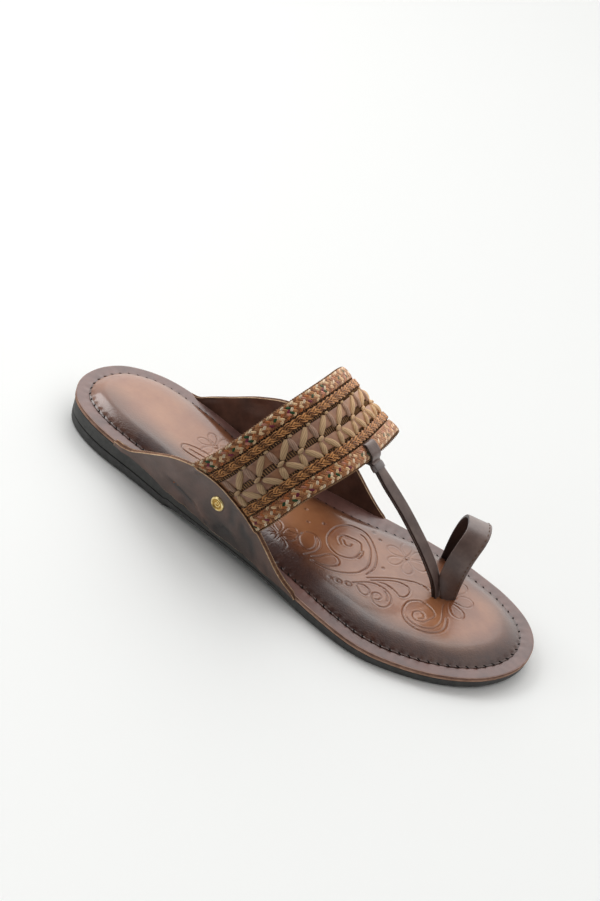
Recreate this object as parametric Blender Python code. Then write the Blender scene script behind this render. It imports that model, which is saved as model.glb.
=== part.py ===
"""Right kolhapuri sandal: rubber outsole, leather board, padded insole, winged upper, toe strap and toe loop.

Lengths are in millimetres and are scaled to metres as each mesh is made. X runs from the heel to the toe,
Y to the medial side and Z up from the floor; the origin lies on the floor under the middle of the heel.
"""
import math

import bmesh
import bpy
from mathutils import Vector

MM = 0.001
GAP = 0.3                 # clearance between neighbouring pieces
CUTTER_DEPTH = 8.0        # half the length of a cutter, more than any wall
SQUARE = [(-1, -1), (1, -1), (1, 1), (-1, 1)]

# Driving sizes of the last
LENGTH = 265.0
TOE_TIP_Y = 4.8
HEEL_CENTRE = 36.0        # from the back of the heel to the origin

# Sole layers
BOARD_THICK = 2.4
BOARD_SEAM_DEPTH = 0.5    # notch between the board's two leather layers
HEEL_BREAST = 79.0        # where the heel's flat tread ends
BREAST_STEP = 1.6
BREAST_SLOPE = 1.5        # length over which the breast rises
BREAST_FADE = 130.0       # where the step starts to run down to the ball
ARCH_RISE = 1.7           # further rise of the waist above the breast
ARCH_END = 172.0
TOE_SPRING_START = 222.0
TOE_SPRING = 2.1
SOLE_INSET = 0.5          # the sole's side, inside the board's outline
TREAD_INSET = 1.8
TREAD_CHAMFER = 0.9
SIDE_GROOVE_DEPTH = 0.8
SIDE_GROOVE_HEIGHT = 0.44 # as a share of the sole's height
SIDE_GROOVE_FADE = 125.0  # the groove fades out from here to its end
SIDE_GROOVE_END = 165.0

# Insole pad
PAD_LIP = 1.0             # height of the thin lip that is sewn down
PAD_LIP_WIDTH = 1.6
PAD_PUFF_WIDTH = 7.5      # width over which the border swells to its full height
PAD_RISE = 4.4
PAD_DISH = 1.3            # how far the pad's middle lies below its puffed border

# Upper
WING_START = 43.0
WING_END = 164.0
WING_NOTCH = 6.0          # length over which the board steps in to make room for a wing
WING_THICK = 2.6
WING_PROUD = 0.6          # outer face of a wing, outside the upper's mean surface
BAND_THICK = 1.6
BAND_WIDTH = 43.5
BAND_PROUD = 0.2
LATERAL_BULGE = 5.0
MEDIAL_BULGE = 5.3
APEX_Y = 6.0
ARCH_HEIGHT = 79.5        # above the board's base, at 120 from the heel
ARCH_FALL = 0.66          # height lost for each step toward the toe
BAND_END = 0.92           # the band's ends, hidden in the wings, short of the feet at 1
BULGE_HEIGHT = {-1: 31.0, 1: 44.0}
ARCH_POWER = 2.21

# Toe strap and toe loop
STRAP_SLOT_Y = 5.2        # off the long axis at the band's slot
STRAP_SLANT = 0.03        # how far it moves to the medial side for each step toward the toe
STRAP_WIDTH = 5.8
STRAP_TOP_WIDTH = 8.2
STRAP_THICK = 2.5         # two layers of leather
STRAP_SLOT = 35.9         # the slot's distance from the band's rear edge
STRAP_SLOT_WIDTH = 1.85
KEEPER_START = 0.4        # from the strap's join, down the strap
KEEPER_LENGTH = 5.6
KEEPER_WALL = 0.6
LOOP_WIDTH = 11.0
LOOP_FOOT_WIDTH = 7.0
LOOP_THICK = 1.9
LOOP_NEAR_FOOT = (217.2, 9.4)
LOOP_FAR_FOOT = (203.4, 41.2)
LOOP_TOP = 47.8
LOOP_LEAN = 3.2           # how far the loop's top leans toward the toe
LOOP_SQUARENESS = 0.8     # 1 for a half ellipse, less for fuller shoulders
LOOP_NEAR_TURN = 48.0     # degrees between the strap's width and the shoe's long axis at each foot
LOOP_FAR_TURN = 14.0

# Rivets through the wings: side, distance from the heel, height above the board's base
RIVETS = [("rivet_lateral", -1, 111.5, 20.2), ("rivet_medial", 1, 113.0, 20.2)]
RIVET_SHANK = 1.3
RIVET_SIDES = 18

# Turned outline of a rivet's cap, above the wing, and of its head, below it: radius, height
RIVET_CAP = [(0.0, 1.5), (1.5, 1.4), (2.8, 1.05), (3.55, 0.65), (3.85, 0.3), (3.65, 0.0)]
RIVET_HEAD = [(2.8, 0.0), (2.8, -0.6), (0.0, -0.8)]

# Half widths of the board's outline: distance from the heel, medial, lateral
OUTLINE = [
    (2.0, 11.8, 10.4), (10.0, 23.4, 21.7), (30.0, 32.2, 30.3), (60.0, 32.4, 34.2), (90.0, 30.4, 38.2),
    (120.0, 31.5, 41.6), (150.0, 37.4, 45.0), (180.0, 43.4, 49.4), (195.0, 45.2, 50.8), (205.0, 45.7, 50.2),
    (215.0, 45.3, 47.8), (235.0, 41.3, 39.0), (253.0, 31.4, 24.9), (262.5, 18.1, 9.1),
]

# Top of the board above the floor: distance from the heel, height
FOOTBED = [(0.0, 16.3), (58.0, 15.0), (95.0, 11.9), (132.0, 10.6), (175.0, 7.8), (222.0, 6.6), (265.0, 8.1)]

# Bare border of the board round the pad: distance from the heel, lateral, medial
PAD_BORDER = [
    (0.0, 6.9, 6.9), (45.0, 6.9, 6.9), (80.0, 6.9, 8.8), (97.0, 6.9, 10.2), (111.0, 6.9, 11.5),
    (124.0, 6.9, 12.4), (138.0, 6.9, 13.0), (152.0, 6.9, 12.2), (166.0, 6.9, 10.0), (182.0, 6.9, 7.6),
    (200.0, 6.9, 6.9), (265.0, 6.9, 6.9),
]

# Upper edge of each wing above the board's base: distance from the heel, lateral, medial
WINGS = [
    (43.0, 0.9, 0.9), (52.0, 3.9, 5.0), (65.0, 12.9, 14.0), (80.0, 23.4, 24.0), (95.0, 29.3, 29.5),
    (108.0, 30.4, 31.0), (120.0, 27.8, 29.5), (132.0, 23.0, 25.0), (142.0, 16.4, 17.5), (152.0, 8.6, 10.0),
    (160.0, 2.4, 4.5), (164.0, 0.9, 0.9),
]

# Edges of the band: distance from the heel as a polynomial of its place, from -1 at the lateral foot over 0
# at the top to 1 at the medial foot
BAND_REAR = (121.3, -1.1, -41.7, 14.7)
BAND_FRONT = (157.2, -2.5, -25.2, 14.7)

# Relief across the band: distance from the rear edge, height above the band's wall
BAND_RELIEF = [
    (0.0, 0.6), (1.1, 1.4), (2.6, 1.9), (6.4, 1.9), (7.9, 1.3), (8.1, 0.3), (9.3, 0.3), (10.0, 1.5),
    (11.8, 1.9), (13.5, 1.4), (14.1, 0.3), (15.6, 0.6), (20.4, 0.6), (21.8, 0.3), (23.2, 0.6), (28.8, 0.6),
    (30.8, 0.3), (31.6, 1.4), (33.6, 1.9), (35.5, 1.4), (36.3, 0.3), (36.9, 0.3), (37.1, 1.3), (38.4, 1.9),
    (41.2, 1.9), (42.5, 1.3), (43.5, 0.6),
]

# Leaf stitches of one cord cross, measured from its node: start and end along and across the band, width
CORD_LEAVES = [
    (1.9, -1.3, 10.0, -7.4, 2.9), (-0.5, -1.2, -0.2, -7.7, 2.5),
    (2.0, 1.4, 7.4, 7.8, 3.2), (-0.8, 1.3, -2.4, 7.7, 2.5),
]
CORD_FIRST = -0.605       # place of the first cross's node, from the band's top
CORD_PITCH = 0.119
CORD_COUNT = 12
CORD_NODE = 22.6          # the node's distance from the band's rear edge
LEAF_FULLNESS = [(0.0, 0.35), (0.3, 1.0), (0.7, 1.0), (1.0, 0.35)]   # share of its length, share of its width
LEAF_RISE = 2.0
LEAF_END_RISE = 0.9
LEAF_SUNK = 0.3

# Toe strap's middle line from the post up to the band: distance from the heel, height
STRAP_LINE = [
    (212.3, 7.3), (212.0, 10.6), (208.2, 18.6), (203.3, 24.8), (196.7, 31.4), (191.2, 36.3), (181.0, 44.6),
    (170.0, 52.3),
]

# The strap's turn round the band's front braid, from its join: along the band past the front edge and
# above its surface, for the outer and the inner side of the leather
STRAP_TURN = [
    (2.1, 1.05, 1.5, -0.2), (1.35, 1.95, 0.5, 1.0), (-1.25, 3.65, -1.6, 2.4), (-8.2, 3.65, -6.95, 2.4),
    (-8.2, -2.95, -6.95, -1.7), (0.9, -2.95, 0.3, -1.7), (2.1, -1.45, 1.5, -0.2),
]


def clear_scene():
    for thing in list(bpy.data.objects):
        bpy.data.objects.remove(thing, do_unlink=True)


def surface(name, colour, roughness, metallic=0.0):
    """A plain material in the finish's own colour."""
    finish = bpy.data.materials.new(name)
    finish.use_nodes = True
    shader = finish.node_tree.nodes["Principled BSDF"]
    shader.inputs["Base Color"].default_value = (*colour, 1.0)
    shader.inputs["Roughness"].default_value = roughness
    shader.inputs["Metallic"].default_value = metallic
    return finish


def curve_value(x, xs, ys):
    """A smooth curve through table points, with the slope at each point taken from its two neighbours."""
    last = len(xs) - 1
    x = min(max(x, xs[0]), xs[last])
    i = max(k for k in range(last) if xs[k] <= x)

    def slope(k):
        a, b = max(k - 1, 0), min(k + 1, last)
        return (ys[b] - ys[a]) / (xs[b] - xs[a])

    step = xs[i + 1] - xs[i]
    t = (x - xs[i]) / step
    return ((2 * t ** 3 - 3 * t ** 2 + 1) * ys[i] + (t ** 3 - 2 * t ** 2 + t) * step * slope(i)
            + (3 * t ** 2 - 2 * t ** 3) * ys[i + 1] + (t ** 3 - t ** 2) * step * slope(i + 1))


def smooth_step(x, low, high):
    t = min(max((x - low) / (high - low), 0.0), 1.0)
    return t * t * (3 - 2 * t)


def turn(x):
    """The angle round a half circle that has the sole's length as diameter; it rounds both ends."""
    return math.acos(min(max(1 - 2 * x / LENGTH, -1.0), 1.0))


def half_width(x, side):
    """Distance of the outline from the long axis: side 1 medial, -1 lateral."""
    column = 1 if side > 0 else 2
    xs = [0.0] + [turn(row[0]) for row in OUTLINE] + [math.pi]
    ys = [0.0] + [row[column] for row in OUTLINE] + [side * TOE_TIP_Y]
    return curve_value(turn(x), xs, ys)


def board_top(x):
    return curve_value(x, [row[0] for row in FOOTBED], [row[1] for row in FOOTBED])


def board_base(x):
    return board_top(x) - BOARD_THICK


def tread(x):
    """Underside of the outsole: flat heel, breast step, raised waist, flat forefoot and toe spring."""
    if x <= HEEL_BREAST:
        return 0.0
    if x >= TOE_SPRING_START:
        return TOE_SPRING * ((x - TOE_SPRING_START) / (LENGTH - TOE_SPRING_START)) ** 2
    if x >= ARCH_END:
        return 0.0
    rise = ARCH_RISE * math.sin(math.pi * (x - HEEL_BREAST) / (ARCH_END - HEEL_BREAST))
    return BREAST_STEP * (1 - smooth_step(x, BREAST_FADE, ARCH_END)) + rise


def stations():
    """Distances from the heel, close together at both round ends, with the named places as stations too."""
    count = 30
    named = [WING_START - 1.0 - WING_NOTCH, WING_START - 1.0, HEEL_BREAST, WING_END + 1.0, ARCH_END]
    even = [LENGTH / 2 * (1 - math.cos(math.pi * k / count)) for k in range(count + 1)]
    kept = [x for x in even if min(abs(x - place) for place in named) > 4.0]
    return sorted(kept + named + [HEEL_BREAST + BREAST_SLOPE])


STATIONS = stations()
RING = [(x, 1) for x in STATIONS] + [(x, -1) for x in reversed(STATIONS[1:-1])]


def outline(inset):
    """The outline as a ring of plan points, moved inward by inset(x, side) along its own normal."""
    rim = [Vector((x, side * half_width(x, side), 0.0)) for x, side in RING]
    moved = []
    for k, (x, side) in enumerate(RING):
        along = (rim[(k + 1) % len(rim)] - rim[k - 1]).normalized()
        inward = Vector((-along.y, along.x, 0.0)) * -1.0
        moved.append(rim[k] + inward * inset(x, side))
    return moved


def spine_point(point):
    """The nearest point of the sole's middle line, which stops short of both round ends."""
    x = min(max(point.x, 28.0), LENGTH - 42.0)
    return Vector((x, (half_width(x, 1) - half_width(x, -1)) / 2, 0.0))


def toward_spine(ring, share):
    return [point.lerp(spine_point(point), share) for point in ring]


def at_height(ring, height):
    """Lifts a ring of plan points to height(x)."""
    return [Vector((p.x, p.y, height(p.x))) for p in ring]


def add_sweep(mesh, loops):
    """Adds a closed body through rings of equal count, with a flat face at each end."""
    rows = add_tube(mesh, loops)
    mesh.faces.new(rows[0])
    mesh.faces.new(rows[-1][::-1])


def add_tube(mesh, loops):
    """Adds the walls between rings of equal count and returns their corners."""
    rows = [[mesh.verts.new((p.x - HEEL_CENTRE, p.y, p.z)) for p in loop] for loop in loops]
    for low, high in zip(rows, rows[1:]):
        for k in range(len(low)):
            n = (k + 1) % len(low)
            mesh.faces.new((low[k], low[n], high[n], high[k]))
    return rows


def sweep(name, finish, loops):
    mesh = bmesh.new()
    add_sweep(mesh, loops)
    return finish_mesh(name, finish, mesh)


def sole_layer(name, finish, loops):
    """Body of a layer of the sole, from its underside's innermost ring round its side to the top's."""
    mesh = bmesh.new()
    rows = add_tube(mesh, loops)
    close_across(mesh, rows[0])
    close_across(mesh, rows[-1])
    return finish_mesh(name, finish, mesh)


def close_across(mesh, ring):
    """Fills a ring of the sole with strips between its medial and lateral points of the same station."""
    count = len(ring)
    for k in range(len(STATIONS) - 1):
        corners = [ring[k], ring[k + 1], ring[(count - k - 1) % count], ring[(count - k) % count]]
        distinct = list(dict.fromkeys(corners))
        if len(distinct) > 2:
            mesh.faces.new(distinct)


def finish_mesh(name, finish, mesh):
    """Triangulates, turns the faces outward, scales to metres and links the object."""
    bmesh.ops.triangulate(mesh, faces=mesh.faces)
    bmesh.ops.recalc_face_normals(mesh, faces=mesh.faces)
    bmesh.ops.scale(mesh, vec=(MM, MM, MM), verts=mesh.verts)
    data = bpy.data.meshes.new(name)
    mesh.to_mesh(data)
    mesh.free()
    data.materials.append(finish)
    data.shade_smooth()
    data.set_sharp_from_angle(angle=math.radians(35))
    thing = bpy.data.objects.new(name, data)
    bpy.context.collection.objects.link(thing)
    return thing


def outsole(finish):
    """Rubber sole: chamfered tread edge, a groove round the side and a top for the board."""
    def groove_height(x):
        return tread(x) + (board_base(x) - tread(x)) * SIDE_GROOVE_HEIGHT

    def groove_inset(x, side):
        return SOLE_INSET + SIDE_GROOVE_DEPTH * (1 - smooth_step(x, SIDE_GROOVE_FADE, SIDE_GROOVE_END))

    side = outline(lambda x, side: SOLE_INSET)
    groove = outline(groove_inset)
    under = outline(lambda x, side: TREAD_INSET)
    chamfer = outline(lambda x, side: TREAD_INSET - TREAD_CHAMFER)
    top = outline(lambda x, side: 0.2)
    loops = [at_height(toward_spine(under, share), tread) for share in (0.75, 0.4, 0.0)]
    loops.append(at_height(chamfer, lambda x: tread(x) + TREAD_CHAMFER))
    loops.append(at_height(side, lambda x: groove_height(x) - 0.5))
    loops.append(at_height(groove, groove_height))
    loops.append(at_height(side, lambda x: groove_height(x) + 0.3))
    for share in (0.0, 0.4, 0.75):
        loops.append(at_height(toward_spine(top, share), lambda x: board_base(x) - GAP))
    return sole_layer("outsole", finish, loops)


def wing_room(x, side):
    """How far the board's edge steps in where a wing passes outside it."""
    start = smooth_step(x, WING_START - 1.0 - WING_NOTCH, WING_START - 1.0)
    end = 1 - smooth_step(x, WING_END + 1.0, WING_END + 1.0 + WING_NOTCH)
    return start * end * (WING_THICK - WING_PROUD + GAP)


def leather_board(finish):
    """Two leather layers, drawn as one board with a seam notch along its edge."""
    rim = outline(wing_room)
    seam = outline(lambda x, side: wing_room(x, side) + BOARD_SEAM_DEPTH)
    loops = [at_height(toward_spine(rim, share), board_base) for share in (0.7, 0.0)]
    for ring, share in ((rim, 0.40), (seam, 0.48), (rim, 0.56)):
        loops.append(at_height(ring, lambda x: board_base(x) + BOARD_THICK * share))
    for share in (0.0, 0.7):
        loops.append(at_height(toward_spine(rim, share), board_top))
    return sole_layer("leather_board", finish, loops)


def pad_inset(x, side):
    """Border of bare board round the pad; it widens along the medial waist."""
    column = 2 if side > 0 else 1
    return curve_value(x, [row[0] for row in PAD_BORDER], [row[column] for row in PAD_BORDER])


def pad_height(depth):
    """Height of the pad's top above the board at a depth in from its edge: lip, puffed border, dish."""
    climb = min(max((depth - PAD_LIP_WIDTH) / PAD_PUFF_WIDTH, 0.0), 1.0)
    puff = PAD_LIP + (PAD_RISE - PAD_LIP) * math.sin(math.pi / 2 * climb)
    return puff - PAD_DISH * smooth_step(depth, 10.0, 30.0)


def insole(finish):
    """Padded leather insole with a puffed border, resting on the board."""
    edge = outline(pad_inset)
    loops = [at_height(toward_spine(edge, share), lambda x: board_top(x) + GAP) for share in (0.7, 0.0)]
    for depth in (0.0, PAD_LIP_WIDTH, 3.0, 4.8, 7.0, 10.0):
        ring = outline(lambda x, side: pad_inset(x, side) + depth)
        loops.append(at_height(ring, lambda x: board_top(x) + GAP + pad_height(depth)))
    inner = outline(lambda x, side: pad_inset(x, side) + 10.0)
    for share, depth in ((0.35, 17.0), (0.75, 26.0)):
        ring = toward_spine(inner, share)
        loops.append(at_height(ring, lambda x: board_top(x) + GAP + pad_height(depth)))
    return sole_layer("insole", finish, loops)


def arch_side(x, side, share):
    """One side of the upper's section, share 0 at the board to 1 at the top: y and height over the base."""
    bulge = LATERAL_BULGE if side < 0 else MEDIAL_BULGE
    knee = BULGE_HEIGHT[side]
    height = ARCH_HEIGHT - ARCH_FALL * (x - 120.0)
    width = half_width(x, side)
    if share < 0.5:
        t = share / 0.5
        return side * (width + bulge * (1 - (1 - t) ** 2)), knee * t
    angle = math.pi / 2 * (share - 0.5) / 0.5
    power = 2 / ARCH_POWER
    reach = width + bulge - side * APEX_Y
    y = APEX_Y + side * reach * math.cos(angle) ** power
    return y, knee + (height - knee) * math.sin(angle) ** power


def arch_profile(x, side):
    """The same side as a list of points with the length run along it, from the foot to the top."""
    points = [Vector((x, *arch_side(x, side, k / 60))) for k in range(61)]
    run = [0.0]
    for a, b in zip(points, points[1:]):
        run.append(run[-1] + (b - a).length)
    return points, run


PROFILES = {}


def arch_point(x, place):
    """A point of the upper's mean surface; place runs from -1 at the lateral foot over 0 to 1 medial."""
    side = -1 if place < 0 else 1
    key = (round(x, 4), side)
    if key not in PROFILES:
        PROFILES[key] = arch_profile(x, side)
    points, run = PROFILES[key]
    goal = (1 - abs(place)) * run[-1]
    k = max(i for i in range(len(run) - 1) if run[i] <= goal)
    flat = points[k].lerp(points[k + 1], (goal - run[k]) / (run[k + 1] - run[k]))
    return Vector((flat.x, flat.y, flat.z + board_base(x)))


def arch_normal(x, place):
    """Outward normal of the mean surface, from short steps along it."""
    along = arch_point(x + 0.5, place) - arch_point(x - 0.5, place)
    near = min(max(place, -0.995), 0.995)
    across = arch_point(x, near + 0.005) - arch_point(x, near - 0.005)
    return across.cross(along).normalized() * -1.0


def polynomial(row, t):
    return sum(value * t ** k for k, value in enumerate(row))


def band_x(place, across):
    """Distance from the heel of a point of the band, across from 0 at its rear edge to 1 at its front."""
    rear = polynomial(BAND_REAR, place)
    return rear + (polynomial(BAND_FRONT, place) - rear) * across


def wing_top(x, side):
    column = 1 if side < 0 else 2
    return curve_value(x, [row[0] for row in WINGS], [row[column] for row in WINGS])


def wing_point(x, side, height):
    """A point of a wing's mean surface at a height above the board's base."""
    points, run = arch_profile(x, side)
    k = max(i for i in range(len(points) - 1) if points[i].z <= height)
    t = (height - points[k].z) / (points[k + 1].z - points[k].z)
    place = side * (1 - (run[k] + t * (run[k + 1] - run[k])) / run[-1])
    return arch_point(x, place), arch_normal(x, place)


def wing(name, finish, side):
    """Leather wing: a wall on the outline between the board and its cut upper edge."""
    steps, rows = 26, 5
    loops = []
    for i in range(steps + 1):
        x = WING_START + (WING_END - WING_START) * i / steps
        top = wing_top(x, side)
        outer, inner = [], []
        for j in range(rows + 1):
            spot, normal = wing_point(x, side, top * j / rows)
            outer.append(spot + normal * WING_PROUD)
            inner.append(spot + normal * (WING_PROUD - WING_THICK))
        loops.append(outer + inner[::-1])
    return sweep(name, finish, loops)


def strip_height(x, place, relief):
    """Relief of the band at a point; it sinks to the wall where a wing covers the band's end."""
    side = -1 if place < 0 else 1
    over = arch_point(x, place).z - board_base(x) - wing_top(x, side)
    return relief * smooth_step(over, -0.5, 3.5)


def band_point(place, across, rise):
    """A point above the band's wall, across it in millimetres from the rear edge."""
    x = band_x(place, across / BAND_WIDTH)
    return arch_point(x, place) + arch_normal(x, place) * (BAND_PROUD + rise)


def band(name, finish):
    """Instep band: one wall with flat braids, chain braids and smooth strips raised across it."""
    steps = 38
    loops = []
    for i in range(steps + 1):
        place = BAND_END * (2 * i / steps - 1)
        outer = []
        for across, relief in BAND_RELIEF:
            x = band_x(place, across / BAND_WIDTH)
            outer.append(band_point(place, across, strip_height(x, place, relief)))
        inner = [band_point(place, BAND_WIDTH * k / 4, -BAND_THICK) for k in range(5)]
        loops.append(outer + inner[::-1])
    return sweep(name, finish, loops)


def cord_leaf(node, row):
    """Rings of one leaf stitch: pointed at both ends, full in the middle, sunk into the strips."""
    start_s, start_a, end_s, end_a, width = row
    run = arch_profile(band_x(node, 0.5), -1 if node < 0 else 1)[1][-1]
    direction = Vector((end_s - start_s, end_a - start_a)).normalized()
    rings = []
    for share, fullness in LEAF_FULLNESS:
        s = start_s + (end_s - start_s) * share
        a = start_a + (end_a - start_a) * share
        half = width / 2 * fullness
        top = LEAF_END_RISE + (LEAF_RISE - LEAF_END_RISE) * fullness
        ring = []
        for aside, rise in ((-half, -LEAF_SUNK), (-half * 0.55, top), (half * 0.55, top), (half, -LEAF_SUNK)):
            place = node + (s - direction.y * aside) / run
            ring.append(band_point(place, CORD_NODE + a + direction.x * aside, rise))
        rings.append(ring)
    return rings


def cords(name, finish, row):
    """One leaf of every cord cross, which stand clear of each other, in one hidden object."""
    mesh = bmesh.new()
    for k in range(CORD_COUNT):
        add_sweep(mesh, cord_leaf(CORD_FIRST + CORD_PITCH * k, row))
    return finish_mesh(name, finish, mesh)


def combine(target, tool, operation):
    """Joins or cuts the target with a hidden tool object."""
    step = target.modifiers.new(tool.name, "BOOLEAN")
    step.operation = operation
    step.solver = "EXACT"
    step.object = tool
    tool.hide_render = True
    tool.display_type = "WIRE"


def block(name, finish, centre, axes, halves):
    """A box cutter about a centre, with half lengths along three axes."""
    def corner(a, b, c):
        return centre + axes[0] * a * halves[0] + axes[1] * b * halves[1] + axes[2] * c * halves[2]

    return sweep(name, finish, [[corner(a, b, c) for a, b in SQUARE] for c in (-1, 1)])


def strap_y(x):
    return STRAP_SLOT_Y + STRAP_SLANT * (x - BAND_FRONT[0])


def strap_spot(across):
    """Point, direction toward the toe and outward normal on the band where the toe strap holds it."""
    spot = arch_point(band_x(0.0, across / BAND_WIDTH), 0.0)
    along = (arch_point(band_x(0.0, 1.0), 0.0) - arch_point(band_x(0.0, 0.8), 0.0)).normalized()
    normal = Vector((-along.z, 0.0, along.x))
    return Vector((spot.x, strap_y(spot.x), spot.z)), along, normal


def strap_path():
    """The toe strap's middle line from its join at the band to the post: knots and the length run to each."""
    edge, along, normal = strap_spot(BAND_WIDTH)
    join = edge + along * STRAP_TURN[0][0] + normal * STRAP_TURN[0][3]
    knots = [join] + [Vector((x, strap_y(x), z)) for x, z in reversed(STRAP_LINE)]
    run = [0.0]
    for a, b in zip(knots, knots[1:]):
        run.append(run[-1] + (b - a).length)
    return knots, run


def strap_point(path, s):
    """Point on the strap's middle line at a length from its join, and the normal on its upper side."""
    knots, run = path

    def point(at):
        return Vector([curve_value(at, run, [knot[axis] for knot in knots]) for axis in range(3)])

    along = (point(min(s + 0.3, run[-1])) - point(max(s - 0.3, 0.0))).normalized()
    return point(s), Vector((-along.z, 0.0, along.x))


def plate(name, finish, flat, faces):
    """A body made from faces drawn in the plane of the strap: flat holds points with their half widths."""
    mesh = bmesh.new()
    sides = []
    for sign in (-1, 1):
        sides.append([mesh.verts.new((p.x - HEEL_CENTRE, p.y + sign * half, p.z)) for p, half in flat])
    borders = set()
    for face in faces:
        mesh.faces.new([sides[0][k] for k in face])
        mesh.faces.new([sides[1][k] for k in reversed(face)])
        borders.update(zip(face, face[1:] + face[:1]))
    for a, b in sorted(borders):
        if (b, a) not in borders:
            mesh.faces.new((sides[0][b], sides[0][a], sides[1][a], sides[1][b]))
    return finish_mesh(name, finish, mesh)


def strap_half_width(run):
    """Half the strap's width at a distance from its join: widest round the braid."""
    return (STRAP_WIDTH + (STRAP_TOP_WIDTH - STRAP_WIDTH) * (1 - smooth_step(run, -7.0, 0.5))) / 2


def toe_strap(name, finish):
    """Folded strap: one loop round the band's front braid, then two layers together down to the post."""
    edge, along, normal = strap_spot(BAND_WIDTH)
    flat = []
    for out_a, out_n, in_a, in_n in STRAP_TURN:
        for a, n in ((out_a, out_n), (in_a, in_n)):
            spot = edge + along * a + normal * n
            spot.y = strap_y(spot.x)
            flat.append((spot, strap_half_width(a - STRAP_TURN[0][0])))
    flat.pop()
    turns = len(STRAP_TURN)
    upper, join, lower = 0, 1, 2 * turns - 2
    faces = [[2 * k, 2 * k + 1, 2 * k + 3, 2 * k + 2] for k in range(turns - 2)]
    faces.append([lower - 2, lower - 1, join, lower])
    faces.append([upper, lower, join])
    path = strap_path()
    steps = 28
    for k in range(1, steps + 1):
        run = path[1][-1] * k / steps
        spot, normal = strap_point(path, run)
        flat.append((spot + normal * STRAP_THICK / 2, strap_half_width(run)))
        flat.append((spot - normal * STRAP_THICK / 2, strap_half_width(run)))
        fresh = len(flat) - 2
        faces.append([upper, fresh, fresh + 1, lower])
        upper, lower = fresh, fresh + 1
    return plate(name, finish, flat, faces)


def keeper_ring(path, s, wall):
    """Corners of the keeper's section at a length from the join, on its inner or its outer side."""
    spot, normal = strap_point(path, s)
    deep = STRAP_THICK / 2 + GAP + wall
    wide = strap_half_width(KEEPER_START) + GAP + wall
    return [spot + Vector((0, a * wide, 0)) + normal * b * deep for a, b in SQUARE]


def strap_keeper(name, finish):
    """Small sleeve round the strap, just below the band."""
    path = strap_path()
    ends = (KEEPER_START, KEEPER_START + KEEPER_LENGTH / 2, KEEPER_START + KEEPER_LENGTH)
    outer = [keeper_ring(path, s, KEEPER_WALL) for s in ends]
    inner = [keeper_ring(path, s, 0.0) for s in reversed(ends)]
    mesh = bmesh.new()
    rows = add_tube(mesh, outer + inner)
    for k in range(len(SQUARE)):
        n = (k + 1) % len(SQUARE)
        mesh.faces.new((rows[-1][k], rows[-1][n], rows[0][n], rows[0][k]))
    return finish_mesh(name, finish, mesh)


def loop_place(t):
    """Middle of the toe loop at t from 0 at the near foot to 1 at the far foot: a squared half circle."""
    near = Vector((*LOOP_NEAR_FOOT, board_top(LOOP_NEAR_FOOT[0]) + GAP))
    far = Vector((*LOOP_FAR_FOOT, board_top(LOOP_FAR_FOOT[0]) + GAP))
    swing = math.copysign(abs(math.cos(math.pi * t)) ** LOOP_SQUARENESS, 0.5 - t)
    rise = math.sin(math.pi * t) ** LOOP_SQUARENESS
    middle = near.lerp(far, (1 - swing) / 2)
    return Vector((middle.x + LOOP_LEAN * rise ** 3, middle.y, middle.z + (LOOP_TOP - middle.z) * rise))


def loop_ring(t, grow=0.0):
    """The strap's four corners at t; its width turns from the post's slant to lie along the shoe."""
    spot = loop_place(t)
    along = (loop_place(min(t + 0.01, 1.0)) - loop_place(max(t - 0.01, 0.0))).normalized()
    turned = LOOP_NEAR_TURN * (1 - smooth_step(t, 0.0, 0.35)) + LOOP_FAR_TURN * smooth_step(t, 0.6, 1.0)
    angle = math.radians(turned)
    wide = Vector((math.cos(angle), math.sin(angle), 0.0))
    wide = (wide - along * wide.dot(along)).normalized()
    thick = along.cross(wide)
    width = LOOP_FOOT_WIDTH + (LOOP_WIDTH - LOOP_FOOT_WIDTH) * smooth_step(t, 0.0, 0.3)
    return [spot + wide * a * (width / 2 + grow) + thick * b * (LOOP_THICK / 2 + grow) for a, b in SQUARE]


def toe_loop(name, finish):
    """Ring strap for the big toe, from the post to the medial edge of the pad."""
    steps = 30
    return sweep(name, finish, [loop_ring(i / steps) for i in range(steps + 1)])


def rivet(name, finish, side, x, height):
    """Turned rivet: domed cap outside the wing, shank through it and a flat head inside."""
    spot, normal = wing_point(x, side, height)
    outside = WING_PROUD + GAP
    inside = WING_PROUD - WING_THICK - GAP
    profile = [(r, outside + z) for r, z in RIVET_CAP] + [(RIVET_SHANK, outside), (RIVET_SHANK, inside)]
    profile += [(r, inside + z) for r, z in RIVET_HEAD]
    mesh = bmesh.new()
    line = [mesh.verts.new((r, 0.0, z)) for r, z in profile]
    edges = [mesh.edges.new(pair) for pair in zip(line, line[1:])]
    bmesh.ops.spin(mesh, geom=line + edges, cent=(0, 0, 0), axis=(0, 0, 1), dvec=(0, 0, 0),
                   angle=math.tau, steps=RIVET_SIDES, use_merge=True, use_duplicate=False)
    bmesh.ops.remove_doubles(mesh, verts=mesh.verts, dist=0.001)
    bmesh.ops.rotate(mesh, verts=mesh.verts, cent=(0, 0, 0),
                     matrix=Vector((0, 0, 1)).rotation_difference(normal).to_matrix())
    bmesh.ops.translate(mesh, verts=mesh.verts, vec=spot - Vector((HEEL_CENTRE, 0, 0)))
    return finish_mesh(name, finish, mesh)


def rivet_hole(name, finish, side, x, height):
    """Round cutter through the wing for the rivet's shank."""
    spot, normal = wing_point(x, side, height)
    across = normal.cross(Vector((0, 0, 1))).normalized()
    up = across.cross(normal)
    angles = [math.tau * k / RIVET_SIDES for k in range(RIVET_SIDES)]
    around = [(across * math.cos(a) + up * math.sin(a)) * (RIVET_SHANK + GAP) for a in angles]
    ends = (spot - normal * CUTTER_DEPTH, spot + normal * CUTTER_DEPTH)
    return sweep(name, finish, [[end + arm for arm in around] for end in ends])


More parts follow.
